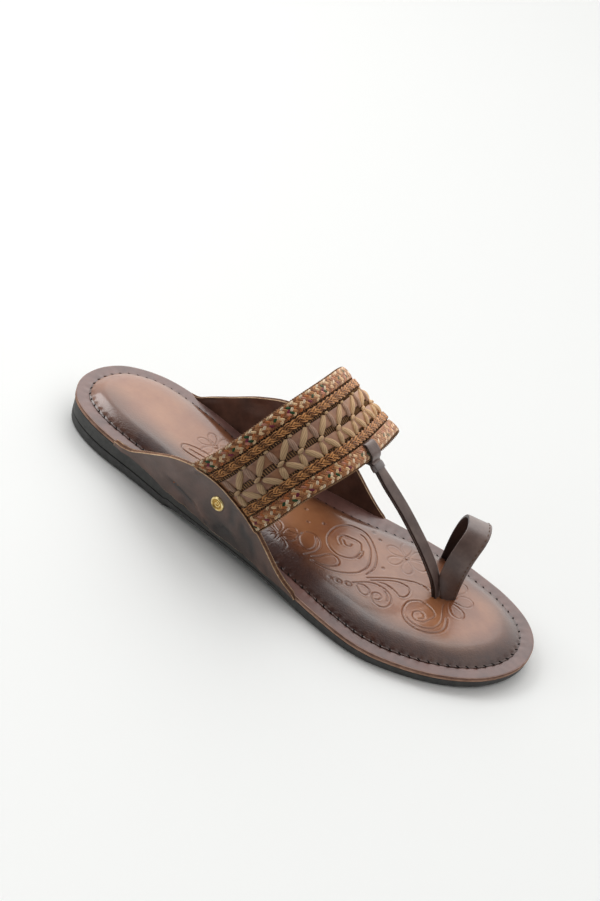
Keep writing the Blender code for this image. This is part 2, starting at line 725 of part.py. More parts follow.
def upper(finish):
    """Wings and band joined into one wall, with the cords fused on, the strap's slot and rivet holes cut."""
    body = band("upper", finish)
    combine(body, wing("lateral_wing_form", finish, -1), "UNION")
    combine(body, wing("medial_wing_form", finish, 1), "UNION")
    for k, row in enumerate(CORD_LEAVES):
        combine(body, cords(f"cord_forms_{k}", finish, row), "UNION")
    spot, along, normal = strap_spot(STRAP_SLOT)
    halves = (STRAP_SLOT_WIDTH / 2, STRAP_TOP_WIDTH / 2 + GAP, CUTTER_DEPTH)
    combine(body, block("strap_slot", finish, spot, (along, Vector((0, 1, 0)), normal), halves), "DIFFERENCE")
    for name, side, x, height in RIVETS:
        combine(body, rivet_hole(name + "_hole", finish, side, x, height), "DIFFERENCE")
    return body


def cut_pockets(pad, finish):
    """Openings in the pad for the strap's foot and the loop's near foot."""
    x, z = STRAP_LINE[0]
    axes = (Vector((1, 0, 0)), Vector((0, 1, 0)), Vector((0, 0, 1)))
    halves = (STRAP_THICK / 2 + GAP, STRAP_WIDTH / 2 + GAP, CUTTER_DEPTH)
    combine(pad, block("strap_pocket", finish, Vector((x, strap_y(x), z)), axes, halves), "DIFFERENCE")
    foot = loop_ring(0.0, GAP)
    lift = Vector((0, 0, CUTTER_DEPTH))
    pocket = sweep("loop_pocket", finish, [[p - lift for p in foot], [p + lift for p in foot]])
    combine(pad, pocket, "DIFFERENCE")


def main():
    clear_scene()
    rubber = surface("outsole rubber", (0.045, 0.046, 0.044), 0.6)
    board_leather = surface("board leather", (0.16, 0.075, 0.06), 0.5)
    pad_leather = surface("insole leather", (0.35, 0.16, 0.08), 0.42)
    upper_leather = surface("upper leather", (0.11, 0.05, 0.035), 0.45)
    strap_leather = surface("strap leather", (0.07, 0.04, 0.032), 0.45)
    brass = surface("rivet brass", (0.83, 0.62, 0.22), 0.25, 1.0)
    outsole(rubber)
    leather_board(board_leather)
    cut_pockets(insole(pad_leather), pad_leather)
    upper(upper_leather)
    toe_strap("toe_strap", strap_leather)
    strap_keeper("strap_keeper", strap_leather)
    toe_loop("toe_loop", strap_leather)
    for row in RIVETS:
        rivet(row[0], brass, *row[1:])


main()
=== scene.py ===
# %% [markdown]
# A right-foot kolhapuri sandal. The frame from the CAD step says where every piece sits: a rubber outsole, a
# two-layer leather board, a padded and tooled insole, two leather wings with a braided band riveted between
# them, a folded toe strap and a loop for the big toe. This lesson dresses that frame piece by piece, in the
# order in which a maker works: the last first, then the sole, the wings, the braids, the straps, the rivets.
# The coarse solids stay behind the scenes for collision, and each new piece that stands for one of them hides
# it.

# %% Load the fixed frame and measure it
import math

import bmesh
import bpy
import numpy as np
from mathutils import Matrix, Vector
from mathutils.kdtree import KDTree


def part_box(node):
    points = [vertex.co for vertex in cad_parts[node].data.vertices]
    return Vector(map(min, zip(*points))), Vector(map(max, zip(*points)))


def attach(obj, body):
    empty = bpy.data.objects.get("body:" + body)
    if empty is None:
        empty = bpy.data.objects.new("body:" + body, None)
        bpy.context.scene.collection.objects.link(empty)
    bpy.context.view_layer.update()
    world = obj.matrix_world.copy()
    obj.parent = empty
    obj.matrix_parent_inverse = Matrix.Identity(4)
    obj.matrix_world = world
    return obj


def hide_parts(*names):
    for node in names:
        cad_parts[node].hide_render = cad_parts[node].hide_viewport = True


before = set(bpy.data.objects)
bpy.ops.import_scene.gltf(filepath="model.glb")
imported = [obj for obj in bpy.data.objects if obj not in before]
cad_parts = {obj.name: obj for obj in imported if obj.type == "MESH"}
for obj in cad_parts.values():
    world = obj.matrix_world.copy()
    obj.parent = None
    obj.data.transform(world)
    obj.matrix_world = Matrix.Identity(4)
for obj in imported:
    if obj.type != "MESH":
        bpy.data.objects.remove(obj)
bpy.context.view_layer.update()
MM = 0.001
board_low, board_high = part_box("leather_board")
HEEL_BACK = board_low.x
LENGTH = (board_high.x - board_low.x) / MM
print(f"sole {LENGTH:.1f} mm long, nodes: {', '.join(sorted(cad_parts))}")

# %% [markdown]
# The camera comes first, because everything is judged through it. It has the place, the roll and the lens
# that show the shoe at the angle of the reference picture. The floor is a wide sheet of pale paper, so large
# that its edge never shows. Waxed leather shows what stands round it as long quiet highlights, so the
# surround is not even. It is dim on the viewer's side and bright behind the shoe, where one wide patch and
# two smaller ones give the glossy border of the pad its highlights. Two more patches, low on the heel's side
# and high over the toes, light the wing and the straps, and one real soft box hangs beyond the heel for the
# shadow. Plain even light would make the leather look like chalk, and small hard lamps would give it sharp
# sparks.

# %% Camera, floor and light
view = bpy.data.cameras.new("sandal_view")
view.lens = 73.43
view.sensor_width = 36.0
camera = bpy.data.objects.new("sandal_camera", view)
camera.location = (0.3500, -0.6719, 0.5542)
camera.rotation_euler = [math.radians(angle) for angle in (53.24, -15.81, 32.85)]
bpy.context.scene.collection.objects.link(camera)
bpy.context.scene.camera = camera
bpy.context.scene.view_settings.view_transform = "Standard"


def linear(code):
    """Linear RGBA of an sRGB hex value."""
    shares = [int(code[k:k + 2], 16) / 255 for k in (1, 3, 5)]
    return tuple(c / 12.92 if c <= 0.04045 else ((c + 0.055) / 1.055) ** 2.4 for c in shares) + (1.0,)


def add(tree, kind, settings=None, links=None):
    """Adds a node: settings are its properties or its sockets' values, links are sockets to read from."""
    node = tree.nodes.new(kind)
    for key, value in (settings or {}).items():
        if isinstance(key, int) or key in node.inputs:
            node.inputs[key].default_value = value
        else:
            setattr(node, key, value)
    for key, source in (links or {}).items():
        tree.links.new(source, node.inputs[key])
    return node


def start_finish(name, values):
    """A new material with its shader's fixed values set; returns it with its tree and shader."""
    made = bpy.data.materials.new(name)
    made.use_nodes = True
    shader = made.node_tree.nodes["Principled BSDF"]
    for socket, value in values.items():
        shader.inputs[socket].default_value = value
    return made, made.node_tree, shader


SHOE_MIDDLE = Vector((0.1, 0, 0.03))


def soft_box(name, place, size, power):
    """A square area light that faces the middle of the shoe."""
    light = bpy.data.lights.new(name, "AREA")
    light.shape = "SQUARE"
    light.size = size
    light.energy = power
    lamp = bpy.data.objects.new(name, light)
    lamp.location = place
    lamp.rotation_euler = (Vector(place) - SHOE_MIDDLE).to_track_quat("Z", "Y").to_euler()
    bpy.context.scene.collection.objects.link(lamp)


FLOOR_HALF = 6.0
paper, tree, shader = start_finish("matte_backdrop_paper", {
    "Base Color": linear("#F8F9F8"), "Roughness": 1.0, "Specular IOR Level": 0.0})
fibre = add(tree, "ShaderNodeTexNoise", {"Scale": 900.0, "Detail": 2.0})
dents = add(tree, "ShaderNodeBump", {"Strength": 0.05, "Distance": 0.2 * MM},
            {"Height": fibre.outputs["Fac"]})
tree.links.new(dents.outputs["Normal"], shader.inputs["Normal"])
sheet = bmesh.new()
bmesh.ops.create_grid(sheet, x_segments=1, y_segments=1, size=FLOOR_HALF)
floor_data = bpy.data.meshes.new("floor")
sheet.to_mesh(floor_data)
sheet.free()
floor_data.materials.append(paper)
floor = bpy.data.objects.new("floor", floor_data)
bpy.context.scene.collection.objects.link(floor)

# Patches of the surround: direction, degrees from it where the light is full and where it has faded, strength
# outside the patch and in it. Their strengths add up.
PATCHES = [((-0.35, 0.80, 0.50), 15.0, 70.0, 0.12, 1.5), ((-0.40, 0.72, 0.57), 6.0, 26.0, 0.0, 0.9),
           ((-0.24, 0.48, 0.84), 5.0, 15.0, 0.0, 1.6), ((-0.72, -0.62, 0.27), 5.0, 27.0, 0.0, 1.15),
           ((0.62, 0.05, 0.78), 10.0, 40.0, 0.0, 0.9)]
SOFT_BOX_PLACE, SOFT_BOX_SIZE, SOFT_BOX_POWER = (-1.00, 0.08, 0.98), 0.6, 6.5
surround = bpy.data.worlds.new("studio_surround")
surround.use_nodes = True
tree = surround.node_tree
direction = add(tree, "ShaderNodeTexCoord").outputs["Generated"]
total = None
for toward, full, light_falloff, dim, bright in PATCHES:
    facing = add(tree, "ShaderNodeVectorMath", {"operation": "DOT_PRODUCT", 1: Vector(toward).normalized()},
                 {0: direction})
    outer, inner = math.cos(math.radians(light_falloff)), math.cos(math.radians(full))
    patch = add(tree, "ShaderNodeMapRange",
                {1: outer, 2: inner, 3: dim, 4: bright, "interpolation_type": "SMOOTHSTEP"},
                {0: facing.outputs["Value"]}).outputs[0]
    total = patch if total is None else add(tree, "ShaderNodeMath", {}, {0: total, 1: patch}).outputs[0]
tree.nodes["Background"].inputs["Color"].default_value = (1.0, 0.995, 0.985, 1.0)
tree.links.new(total, tree.nodes["Background"].inputs["Strength"])
bpy.context.scene.world = surround
soft_box("soft_box", SOFT_BOX_PLACE, SOFT_BOX_SIZE, SOFT_BOX_POWER)
print("camera, floor, a soft box and a surround of", len(PATCHES), "patches")

# %% [markdown]
# A last is the wooden foot that a shoe is built on. Here it is a handful of short tables and smooth curves
# through them, in shoe millimetres: x runs from the back of the heel to the toe, y to the medial side and z
# up from the floor. The curves take whole arrays, because every piece below is first made flat, as a maker
# cuts it, and then all its points are laid on the last at once.

# %% The last: tables and smooth curves
HEEL_BREAST = 79.0
BREAST_STEP = 1.6
BREAST_SLOPE = 1.5
BREAST_FADE = 130.0
ARCH_RISE = 1.7
ARCH_END = 172.0
TOE_SPRING_START = 222.0
TOE_SPRING = 2.1
TOE_TIP_Y = 4.8
BOARD_THICK = 2.4

# Half widths of the board's outline: distance from the heel, medial, lateral
OUTLINE = [
    (2.0, 11.8, 10.4), (10.0, 23.4, 21.7), (30.0, 32.2, 30.3), (60.0, 32.4, 34.2), (90.0, 30.4, 38.2),
    (120.0, 31.5, 41.6), (150.0, 37.4, 45.0), (180.0, 43.4, 49.4), (195.0, 45.2, 50.8), (205.0, 45.7, 50.2),
    (215.0, 45.3, 47.8), (235.0, 41.3, 39.0), (253.0, 31.4, 24.9), (262.5, 18.1, 9.1),
]

# Top of the board above the floor: distance from the heel, height
FOOTBED = [(0.0, 16.3), (58.0, 15.0), (95.0, 11.9), (132.0, 10.6), (175.0, 7.8), (222.0, 6.6), (265.0, 8.1)]


def curve(x, rows, column=1):
    """A smooth curve through table rows, with the slope at each point taken from its two neighbours."""
    xs = np.array([row[0] for row in rows])
    ys = np.array([row[column] for row in rows])
    slopes = np.empty_like(ys)
    slopes[1:-1] = (ys[2:] - ys[:-2]) / (xs[2:] - xs[:-2])
    slopes[0] = (ys[1] - ys[0]) / (xs[1] - xs[0])
    slopes[-1] = (ys[-1] - ys[-2]) / (xs[-1] - xs[-2])
    x = np.clip(x, xs[0], xs[-1])
    i = np.clip(np.searchsorted(xs, x, side="right") - 1, 0, len(xs) - 2)
    step = xs[i + 1] - xs[i]
    t = (x - xs[i]) / step
    return ((2 * t ** 3 - 3 * t ** 2 + 1) * ys[i] + (t ** 3 - 2 * t ** 2 + t) * step * slopes[i]
            + (3 * t ** 2 - 2 * t ** 3) * ys[i + 1] + (t ** 3 - t ** 2) * step * slopes[i + 1])


def ease(x, low, high):
    """0 below low, 1 above high and a smooth step between."""
    t = np.clip((x - low) / (high - low), 0.0, 1.0)
    return t * t * (3 - 2 * t)


def polynomial(row, t):
    return sum(value * t ** power for power, value in enumerate(row))


def unit_rows(rows):
    return rows / np.linalg.norm(rows, axis=-1)[..., None]


def run_along(points):
    """Length of a line up to each of its points."""
    return np.concatenate([[0], np.cumsum(np.linalg.norm(np.diff(points, axis=0), axis=1))])


def board_top(x):
    return curve(x, FOOTBED)


def board_base(x):
    return board_top(x) - BOARD_THICK


def tread(x):
    """Underside of the outsole: flat heel, breast step, raised waist, flat forefoot and toe spring."""
    waist = ARCH_RISE * np.sin(np.pi * np.clip((x - HEEL_BREAST) / (ARCH_END - HEEL_BREAST), 0, 1))
    breast = BREAST_STEP * ease(x, HEEL_BREAST, HEEL_BREAST + BREAST_SLOPE)
    breast = breast * (1 - ease(x, BREAST_FADE, ARCH_END))
    spring = TOE_SPRING * np.clip((x - TOE_SPRING_START) / (LENGTH - TOE_SPRING_START), 0, 1) ** 2
    return waist + breast + spring


def half_width(x, side):
    """Distance of the outline from the long axis, for arrays; side is 1 medial, -1 lateral."""
    turn = np.arccos(np.clip(1 - 2 * np.asarray(x, float) / LENGTH, -1, 1))
    rows = [(math.acos(1 - 2 * row[0] / LENGTH), row[1], row[2]) for row in OUTLINE]
    rows = [(0.0, 0.0, 0.0)] + rows + [(math.pi, TOE_TIP_Y, -TOE_TIP_Y)]
    return np.where(np.asarray(side) > 0, curve(turn, rows, 1), curve(turn, rows, 2))


RIM_TURN = np.linspace(0, 2 * np.pi, 1441)    # round the sole: 0 and 2 pi at the heel, pi at the toe
rim_x = LENGTH / 2 * (1 - np.cos(RIM_TURN))
rim_side = np.where(np.sin(RIM_TURN) >= 0, 1, -1)
RIM = np.stack([rim_x, rim_side * half_width(rim_x, rim_side)], axis=1)
rim_run = np.roll(RIM[:-1], -1, axis=0) - np.roll(RIM[:-1], 1, axis=0)
rim_run = unit_rows(np.concatenate([rim_run, rim_run[:1]]))
RIM_INWARD = np.stack([rim_run[:, 1], -rim_run[:, 0]], axis=1)


def rim_point(turn, inset):
    """Plan points at places round the outline, moved inward by inset."""
    base = np.stack([np.interp(turn, RIM_TURN, RIM[:, k]) for k in (0, 1)], axis=1)
    inward = np.stack([np.interp(turn, RIM_TURN, RIM_INWARD[:, k]) for k in (0, 1)], axis=1)
    return base + inward * np.broadcast_to(inset, np.shape(turn))[:, None]


print(f"outline {run_along(RIM)[-1]:.0f} mm round, ball {RIM[:, 1].max() - RIM[:, 1].min():.1f} mm wide")

# %% [markdown]
# The upper is an arch over that sole. Each cross-section rises from the board's edge, bulges outward and
# closes in a squared dome, and a place from -1 (lateral foot) over 0 (top) to 1 (medial foot) says how far
# round the arch a point is. Working this out for each point of a braid would be slow, so the arch is worked
# out once on a fine net of sections and read back from the net.

# %% The last: the arch over the instep
LATERAL_BULGE = 5.0
MEDIAL_BULGE = 5.3
BULGE_HEIGHT = {-1: 31.0, 1: 44.0}      # where a side stops bulging and the dome begins
APEX_Y = 6.0
ARCH_MIDDLE = 120.0       # distance from the heel at which the arch is ARCH_HEIGHT high
ARCH_HEIGHT = 79.5        # above the board's base
ARCH_FALL = 0.66          # height lost for each step toward the toe
ARCH_POWER = 2.21
NET_START, NET_END, NET_STEP = 60.0, 166.0, 0.5
SECTION_POINTS = 241
PLACES = np.linspace(-1, 1, 401)
LAST_CELL = 1.001         # just over one knot, so that a reading never starts at the last knot of the net


def foot_bulge(side):
    return LATERAL_BULGE if side < 0 else MEDIAL_BULGE


def arch_section(x, side, share):
    """One side of a section at x: share 0 at the board to 1 at the top, as y and height over the base."""
    bulge, knee = foot_bulge(side), BULGE_HEIGHT[side]
    height = ARCH_HEIGHT - ARCH_FALL * (x - ARCH_MIDDLE)
    width = half_width(x, side)
    rise = np.clip(share / 0.5, 0, 1)
    angle = np.pi / 2 * np.clip((share - 0.5) / 0.5, 0, 1)
    power = 2 / ARCH_POWER
    reach = width + bulge - side * APEX_Y
    wall_y = side * (width + bulge * (1 - (1 - rise) ** 2))
    dome_y = APEX_Y + side * reach * np.cos(angle) ** power
    dome_z = knee + (height - knee) * np.sin(angle) ** power
    low = share < 0.5
    return np.where(low, wall_y, dome_y), np.where(low, knee * rise, dome_z)


def weave_net():
    """Points of the arch at each station of the net and each place."""
    xs = np.arange(NET_START, NET_END + NET_STEP / 2, NET_STEP)
    share = np.linspace(0, 1, SECTION_POINTS)
    net = np.zeros((len(xs), len(PLACES), 3))
    for i, x in enumerate(xs):
        for side in (-1, 1):
            y, z = arch_section(x, side, share)
            run = np.concatenate([[0], np.cumsum(np.hypot(np.diff(y), np.diff(z)))])
            mine = PLACES * side >= 0
            goal = (1 - np.abs(PLACES[mine])) * run[-1]
            net[i, mine, 0] = x
            net[i, mine, 1] = np.interp(goal, run, y)
            net[i, mine, 2] = np.interp(goal, run, z) + board_base(x)
    return net


ARCH = weave_net()
ARCH_OUTWARD = unit_rows(np.cross(np.gradient(ARCH, axis=0), np.gradient(ARCH, axis=1)))
ARCH_OUTWARD *= np.sign(ARCH_OUTWARD[0, len(PLACES) // 2, 2])


def from_net(net, x, place):
    """Reads a net between its knots."""
    i = np.clip((x - NET_START) / NET_STEP, 0, net.shape[0] - LAST_CELL)
    j = np.clip((place + 1) / 2 * (len(PLACES) - 1), 0, net.shape[1] - LAST_CELL)
    i0, j0 = i.astype(int), j.astype(int)
    a, b = (i - i0)[:, None], (j - j0)[:, None]
    near = net[i0, j0] * (1 - b) + net[i0, j0 + 1] * b
    far = net[i0 + 1, j0] * (1 - b) + net[i0 + 1, j0 + 1] * b
    return near * (1 - a) + far * a


middle_section = ARCH[round((ARCH_MIDDLE - NET_START) / NET_STEP)]
print(f"arch {ARCH.shape[0]} x {ARCH.shape[1]} net, {run_along(middle_section)[-1]:.1f} mm over the instep")

# %% [markdown]
# Every piece is built in the same three moves. A bmesh operator makes something simple and flat, such as a
# grid; its points are read as one array, laid on the last by a formula and written back; and `settle` turns
# the faces outward, scales millimetres to metres, gives the piece its body and hides the frame's node that it
# stands for. A tube is only a grid rolled up, so `add_tube` does that once for all cords and straps.

# %% Helpers that every piece uses
SHARP_ANGLE = 40.0        # degrees between faces from which an edge is shaded sharp
WELD = 0.002              # points closer than this are one


def points_of(mesh):
    return np.array([vert.co[:] for vert in mesh.verts])


def place_points(mesh, points):
    for vert, point in zip(mesh.verts, points):
        vert.co = point


def new_mesh():
    """An empty bmesh with a UV map, which the grid operators fill."""
    mesh = bmesh.new()
    mesh.loops.layers.uv.new("flow")
    return mesh


def settle(name, mesh, finishes, nodes=()):
    """Ends a piece: faces outward, metres in the frame, materials, body and replaced nodes."""
    bmesh.ops.recalc_face_normals(mesh, faces=mesh.faces)
    bmesh.ops.translate(mesh, verts=mesh.verts, vec=(HEEL_BACK / MM, 0, 0))
    bmesh.ops.scale(mesh, verts=mesh.verts, vec=(MM, MM, MM))
    data = bpy.data.meshes.new(name)
    mesh.to_mesh(data)
    mesh.free()
    for finish in finishes:
        data.materials.append(finish)
    data.shade_smooth()
    data.set_sharp_from_angle(angle=math.radians(SHARP_ANGLE))
    piece = bpy.data.objects.new(name, data)
    bpy.context.scene.collection.objects.link(piece)
    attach(piece, "root")
    if nodes:
        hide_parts(*nodes)
    faces = sum(len(face.vertices) - 2 for face in data.polygons)
    print(f"{name}: {faces} triangles")
    return piece


def border(mesh):
    return [edge for edge in mesh.edges if edge.is_boundary]


def close_seam(piece):
    """Joins the two long edges of a rolled-up grid."""
    bmesh.ops.remove_doubles(piece, verts=[vert for vert in piece.verts if vert.is_boundary], dist=WELD)


def add_tube(mesh, rings, sides, shape, paint=None):
    """Rolls up a grid and closes its ends: shape(u, angle) gives the points, paint(u, angle) the material."""
    piece = new_mesh()
    bmesh.ops.create_grid(piece, x_segments=rings, y_segments=sides, size=1, calc_uvs=True)
    if paint:
        middles = np.array([face.calc_center_median()[:] for face in piece.faces])
        for face, index in zip(piece.faces, paint((middles[:, 0] + 1) / 2, middles[:, 1] * np.pi)):
            face.material_index = int(index)
    flat = points_of(piece)
    place_points(piece, shape((flat[:, 0] + 1) / 2, flat[:, 1] * np.pi))
    close_seam(piece)
    bmesh.ops.holes_fill(piece, edges=border(piece), sides=0)
    gather(mesh, piece)


def gather(mesh, piece):
    """Moves a finished part into the mesh of the piece that it belongs to."""
    data = bpy.data.meshes.new("part")
    piece.to_mesh(data)
    piece.free()
    mesh.from_mesh(data)
    bpy.data.meshes.remove(data)


def give_thickness(mesh, thick, soften, segments=2, pale=0):
    """Makes a flat sheet a slab below z 0 with softened corners. Its cut edge gets material 1, and its
    upper corner (pale 1) or lower corner (pale -1) material 2, where the knife has bared the leather.
    """
    sheet = mesh.faces[:]
    made = bmesh.ops.extrude_face_region(mesh, geom=sheet)["geom"]
    fresh = [part for part in made if isinstance(part, bmesh.types.BMVert)]
    bmesh.ops.translate(mesh, verts=fresh, vec=(0, 0, -thick))
    bmesh.ops.recalc_face_normals(mesh, faces=mesh.faces)
    for face in mesh.faces:
        face.material_index = 1 if abs(face.normal.z) < 0.5 else 0
    corners = [edge for edge in mesh.edges
               if len(edge.link_faces) == 2 and edge.calc_face_angle() > math.radians(60)
               and edge.link_faces[0].material_index != edge.link_faces[1].material_index]
    fresh = bmesh.ops.bevel(mesh, geom=corners, offset=soften, offset_type="OFFSET", segments=segments,
                            profile=0.5, affect="EDGES", material=-1)["faces"]
    for face in fresh:
        if pale * (face.calc_center_median().z + thick / 2) > 0:
            face.material_index = 2


# %% [markdown]
# The leathers share one recipe, as on the real shoe: the same vegetable-tanned hide, dyed, waxed and
# burnished to different depths. Its grain is a net of small plump cells (a Voronoi pattern) broken by finer
# wrinkles (noise); dye gathers unevenly, so a slow noise moves the colour between two tones; and a thin
# clear wax, the coat, carries the soft window light. Grain of real hide is about 0.3 to 0.8 mm. Cells under
# half a millimetre would vanish between pixels here, so they are drawn a little coarse.

# %% Leather
def dress(tree, shader, colour, relief):
    """Lets a colour and a bump node reach the shader, which ends most finishes."""
    tree.links.new(colour, shader.inputs["Base Color"])
    tree.links.new(relief.outputs["Normal"], shader.inputs["Normal"])


def leather(name, dark, light, grain_mm=0.8, depth_mm=0.10, roughness=0.45, coat=0.25, blotch_mm=14.0,
            wrinkle=0.5, coat_roughness=0.28):
    """Dyed leather; returns the material, its tree, shader, colour mix and last bump for further layers."""
    made, tree, shader = start_finish(name, {"Roughness": roughness, "Coat Weight": coat, "IOR": 1.5,
                                             "Coat Roughness": coat_roughness})
    place = add(tree, "ShaderNodeTexCoord").outputs["Object"]
    blotch = add(tree, "ShaderNodeTexNoise", {"Scale": 1000 / blotch_mm, "Detail": 4.0, "Roughness": 0.6},
                 {"Vector": place})
    tone = add(tree, "ShaderNodeMapRange", {1: 0.35, 2: 0.65}, {0: blotch.outputs["Fac"]})
    mix = add(tree, "ShaderNodeMix", {"data_type": "RGBA", 6: linear(dark), 7: linear(light)},
              {0: tone.outputs[0]})
    cells = add(tree, "ShaderNodeTexVoronoi", {"Scale": 1000 / grain_mm, "feature": "SMOOTH_F1"},
                {"Vector": place})
    wrinkles = add(tree, "ShaderNodeTexNoise",
                   {"Scale": 1000 / (grain_mm * 3), "Detail": 5.0, "Distortion": 0.6},
                   {"Vector": place})
    height = add(tree, "ShaderNodeMix", {"data_type": "FLOAT", 0: wrinkle},
                 {2: cells.outputs["Distance"], 3: wrinkles.outputs["Fac"]})
    bump = add(tree, "ShaderNodeBump", {"Strength": 1.0, "Distance": depth_mm * MM},
               {"Height": height.outputs[0]})
    dress(tree, shader, mix.outputs[2], bump)
    return made, tree, shader, mix, bump


wing_leather, tree, shader, mix, _ = leather("waxed_wing_leather", "#452E23", "#64463A", grain_mm=0.7,
                                             coat=0.4, roughness=0.38, coat_roughness=0.2)
# The wings' attribute "burnish" holds painted light: above 0 it darkens the colour as painted shade,
# below 0 it lightens it as painted highlight and reflection
wing_painted_light = add(tree, "ShaderNodeAttribute", {"attribute_name": "burnish"})
shade = add(tree, "ShaderNodeMapRange", {1: -1.0, 2: 1.0, 3: 1.65, 4: 0.15}, {0: wing_painted_light.outputs["Fac"]})
deep = add(tree, "ShaderNodeMix", {"data_type": "RGBA", "blend_type": "MULTIPLY", 0: 1.0},
           {6: mix.outputs[2], 7: shade.outputs[0]})
tree.links.new(deep.outputs[2], shader.inputs["Base Color"])
lining_leather = leather("brown_lining_leather", "#4E2F22", "#6E4736", roughness=0.55, coat=0.1)[0]
strap_leather = leather("edge_dyed_strap_leather", "#58443E", "#7C675F", grain_mm=0.6, coat=0.5,
                        roughness=0.4)[0]
board_leather = leather("burnished_sole_leather", "#553630", "#754F46", grain_mm=0.9, coat=0.6,
                        wrinkle=0.7)[0]


def raw_edge(name, dark, light):
    """Cut edge of veg-tanned leather: matt and felted, with fibres drawn out level along the cut."""
    made, tree, shader = start_finish(name, {"Roughness": 0.85, "IOR": 1.5})
    place = add(tree, "ShaderNodeTexCoord").outputs["Object"]
    stretched = add(tree, "ShaderNodeMapping", {"Scale": (0.25, 0.25, 1.0)}, {"Vector": place})
    fibres = add(tree, "ShaderNodeTexNoise", {"Scale": 1400.0, "Detail": 4.0},
                 {"Vector": stretched.outputs[0]})
    stain = add(tree, "ShaderNodeTexNoise", {"Scale": 90.0, "Detail": 3.0}, {"Vector": place})
    both = add(tree, "ShaderNodeMix", {"data_type": "FLOAT", 0: 0.5},
               {2: fibres.outputs["Fac"], 3: stain.outputs["Fac"]})
    tone = add(tree, "ShaderNodeMapRange", {1: 0.38, 2: 0.62}, {0: both.outputs[0]})
    mix = add(tree, "ShaderNodeMix", {"data_type": "RGBA", 6: linear(dark), 7: linear(light)},
              {0: tone.outputs[0]})
    bump = add(tree, "ShaderNodeBump", {"Strength": 0.8, "Distance": 0.1 * MM},
               {"Height": fibres.outputs["Fac"]})
    dress(tree, shader, mix.outputs[2], bump)
    return made


cut_edge = raw_edge("stained_cut_edge", "#5A3A2A", "#8C6448")
board_edge = raw_edge("stained_board_edge", "#54392E", "#9A7462")
pale_corner = raw_edge("bared_leather_corner", "#B08A68", "#E6C8A2")
# The board's upper rounded corner is paler all round: a painted highlight.
board_corner_highlight = raw_edge("board_corner_painted_highlight", "#86665A", "#AE8E80")
lower_edge = raw_edge("pale_board_edge", "#8A6654", "#BC947E")
print("leathers:", ", ".join(m.name for m in bpy.data.materials if "leather" in m.name))

# %% [markdown]
# Sole, board and insole are layers with nearly one outline, so they share two tools. A sheet is a grid
# rounded to a disc and stretched to the sole's plan, which keeps its cells even right round heel and toe. A
# ring is a loop of edges on the outline that is extruded to the next inset and height. A ring and a sheet
# have different numbers of points on their borders, so bridge_loops joins them.

# %% Sheets and rings of the sole
def rim_x_side(turn):
    """The table place of a point round the outline: distance from the heel and side."""
    return LENGTH / 2 * (1 - np.cos(turn)), np.where(np.sin(turn) >= 0, 1, -1)


def inset_ring(turn, inset):
    """Plan points round the outline, moved inward by inset(x, side)."""
    return rim_point(turn, inset(*rim_x_side(turn)))


def sole_sheet(columns, rows, inset, even=lambda u: u):
    """A grid as a disc inside the outline. Returns it, its plan points and their reach, 1 on the border."""
    mesh = new_mesh()
    bmesh.ops.create_grid(mesh, x_segments=columns, y_segments=rows, size=1)
    flat = points_of(mesh)
    u, v = even(flat[:, 0]), flat[:, 1]
    along = u * np.sqrt(1 - v ** 2 / 2)
    aside = v * np.sqrt(1 - u ** 2 / 2)
    turn = np.arccos(np.clip(-along, -1, 1))
    half = np.sqrt(np.maximum(1 - along ** 2, 1e-9))
    across = np.clip(aside / half, -1, 1)
    medial, lateral = inset_ring(turn, inset), inset_ring(2 * np.pi - turn, inset)
    plan = lateral + (medial - lateral) * ((1 + across) / 2)[:, None]
    layer = mesh.verts.layers.float.new("round")
    for vert, place in zip(mesh.verts, np.where(aside >= 0, turn, 2 * np.pi - turn)):
        vert[layer] = place
    return mesh, plan, np.hypot(along, aside)


def lay_sheet(mesh, plan, height):
    place_points(mesh, np.column_stack([plan, height]))


def step_ring(mesh, edges, inset, height, material=0):
    """Extrudes a ring of edges to the outline moved in by inset(x, side), at height(x, y, turn)."""
    made = bmesh.ops.extrude_edge_only(mesh, edges=edges)["geom"]
    fresh = [part for part in made if isinstance(part, bmesh.types.BMVert)]
    layer = mesh.verts.layers.float["round"]
    turn = np.array([vert[layer] for vert in fresh])
    plan = inset_ring(turn, inset)
    for vert, spot, z in zip(fresh, plan, height(plan[:, 0], plan[:, 1], turn)):
        vert.co = (*spot, z)
    for part in made:
        if isinstance(part, bmesh.types.BMFace):
            part.material_index = material
    return [part for part in made if isinstance(part, bmesh.types.BMEdge)]


def close_ring(mesh, edges, inset, height, columns=60, rows=20):
    """Closes a ring with a coarse sheet whose border lies a little inside it."""
    sheet, plan, _ = sole_sheet(columns, rows, inset)
    lay_sheet(sheet, plan, height(plan[:, 0], plan[:, 1], None))
    known = set(mesh.verts)
    gather(mesh, sheet)
    fresh = [edge for edge in border(mesh) if edge.verts[0] not in known]
    bmesh.ops.bridge_loops(mesh, edges=edges + fresh)


def start_ring(count, inset, height):
    """A new mesh with one ring of edges on the outline."""
    mesh = new_mesh()
    bmesh.ops.create_circle(mesh, segments=count, radius=1)
    points = points_of(mesh)
    turn = np.arctan2(points[:, 1], -points[:, 0]) % (2 * np.pi)
    layer = mesh.verts.layers.float.new("round")
    plan = inset_ring(turn, inset)
    for vert, w, spot, z in zip(mesh.verts, turn, plan, height(plan[:, 0], plan[:, 1], turn)):
        vert[layer] = w
        vert.co = (*spot, z)
    return mesh, mesh.edges[:]


# %% [markdown]
# The rubber sole is glued under the board and trimmed to its outline. A slab with bevelled edges would give
# neither its arch nor its toe spring. So a ring round the tread is extruded outward and up, through the
# rounded lower edge, the side and its groove, and a sheet closes it above and another below.

# %% Outsole
GAP = 0.3                 # left between sole, board and insole, so that no two faces lie in one plane
TREAD_INSET = 1.8
SOLE_POINTS, TREAD_CELLS = 420, (160, 50)
GROOVE_FADE = (125.0, 165.0)      # the side groove dies out between these distances from the heel

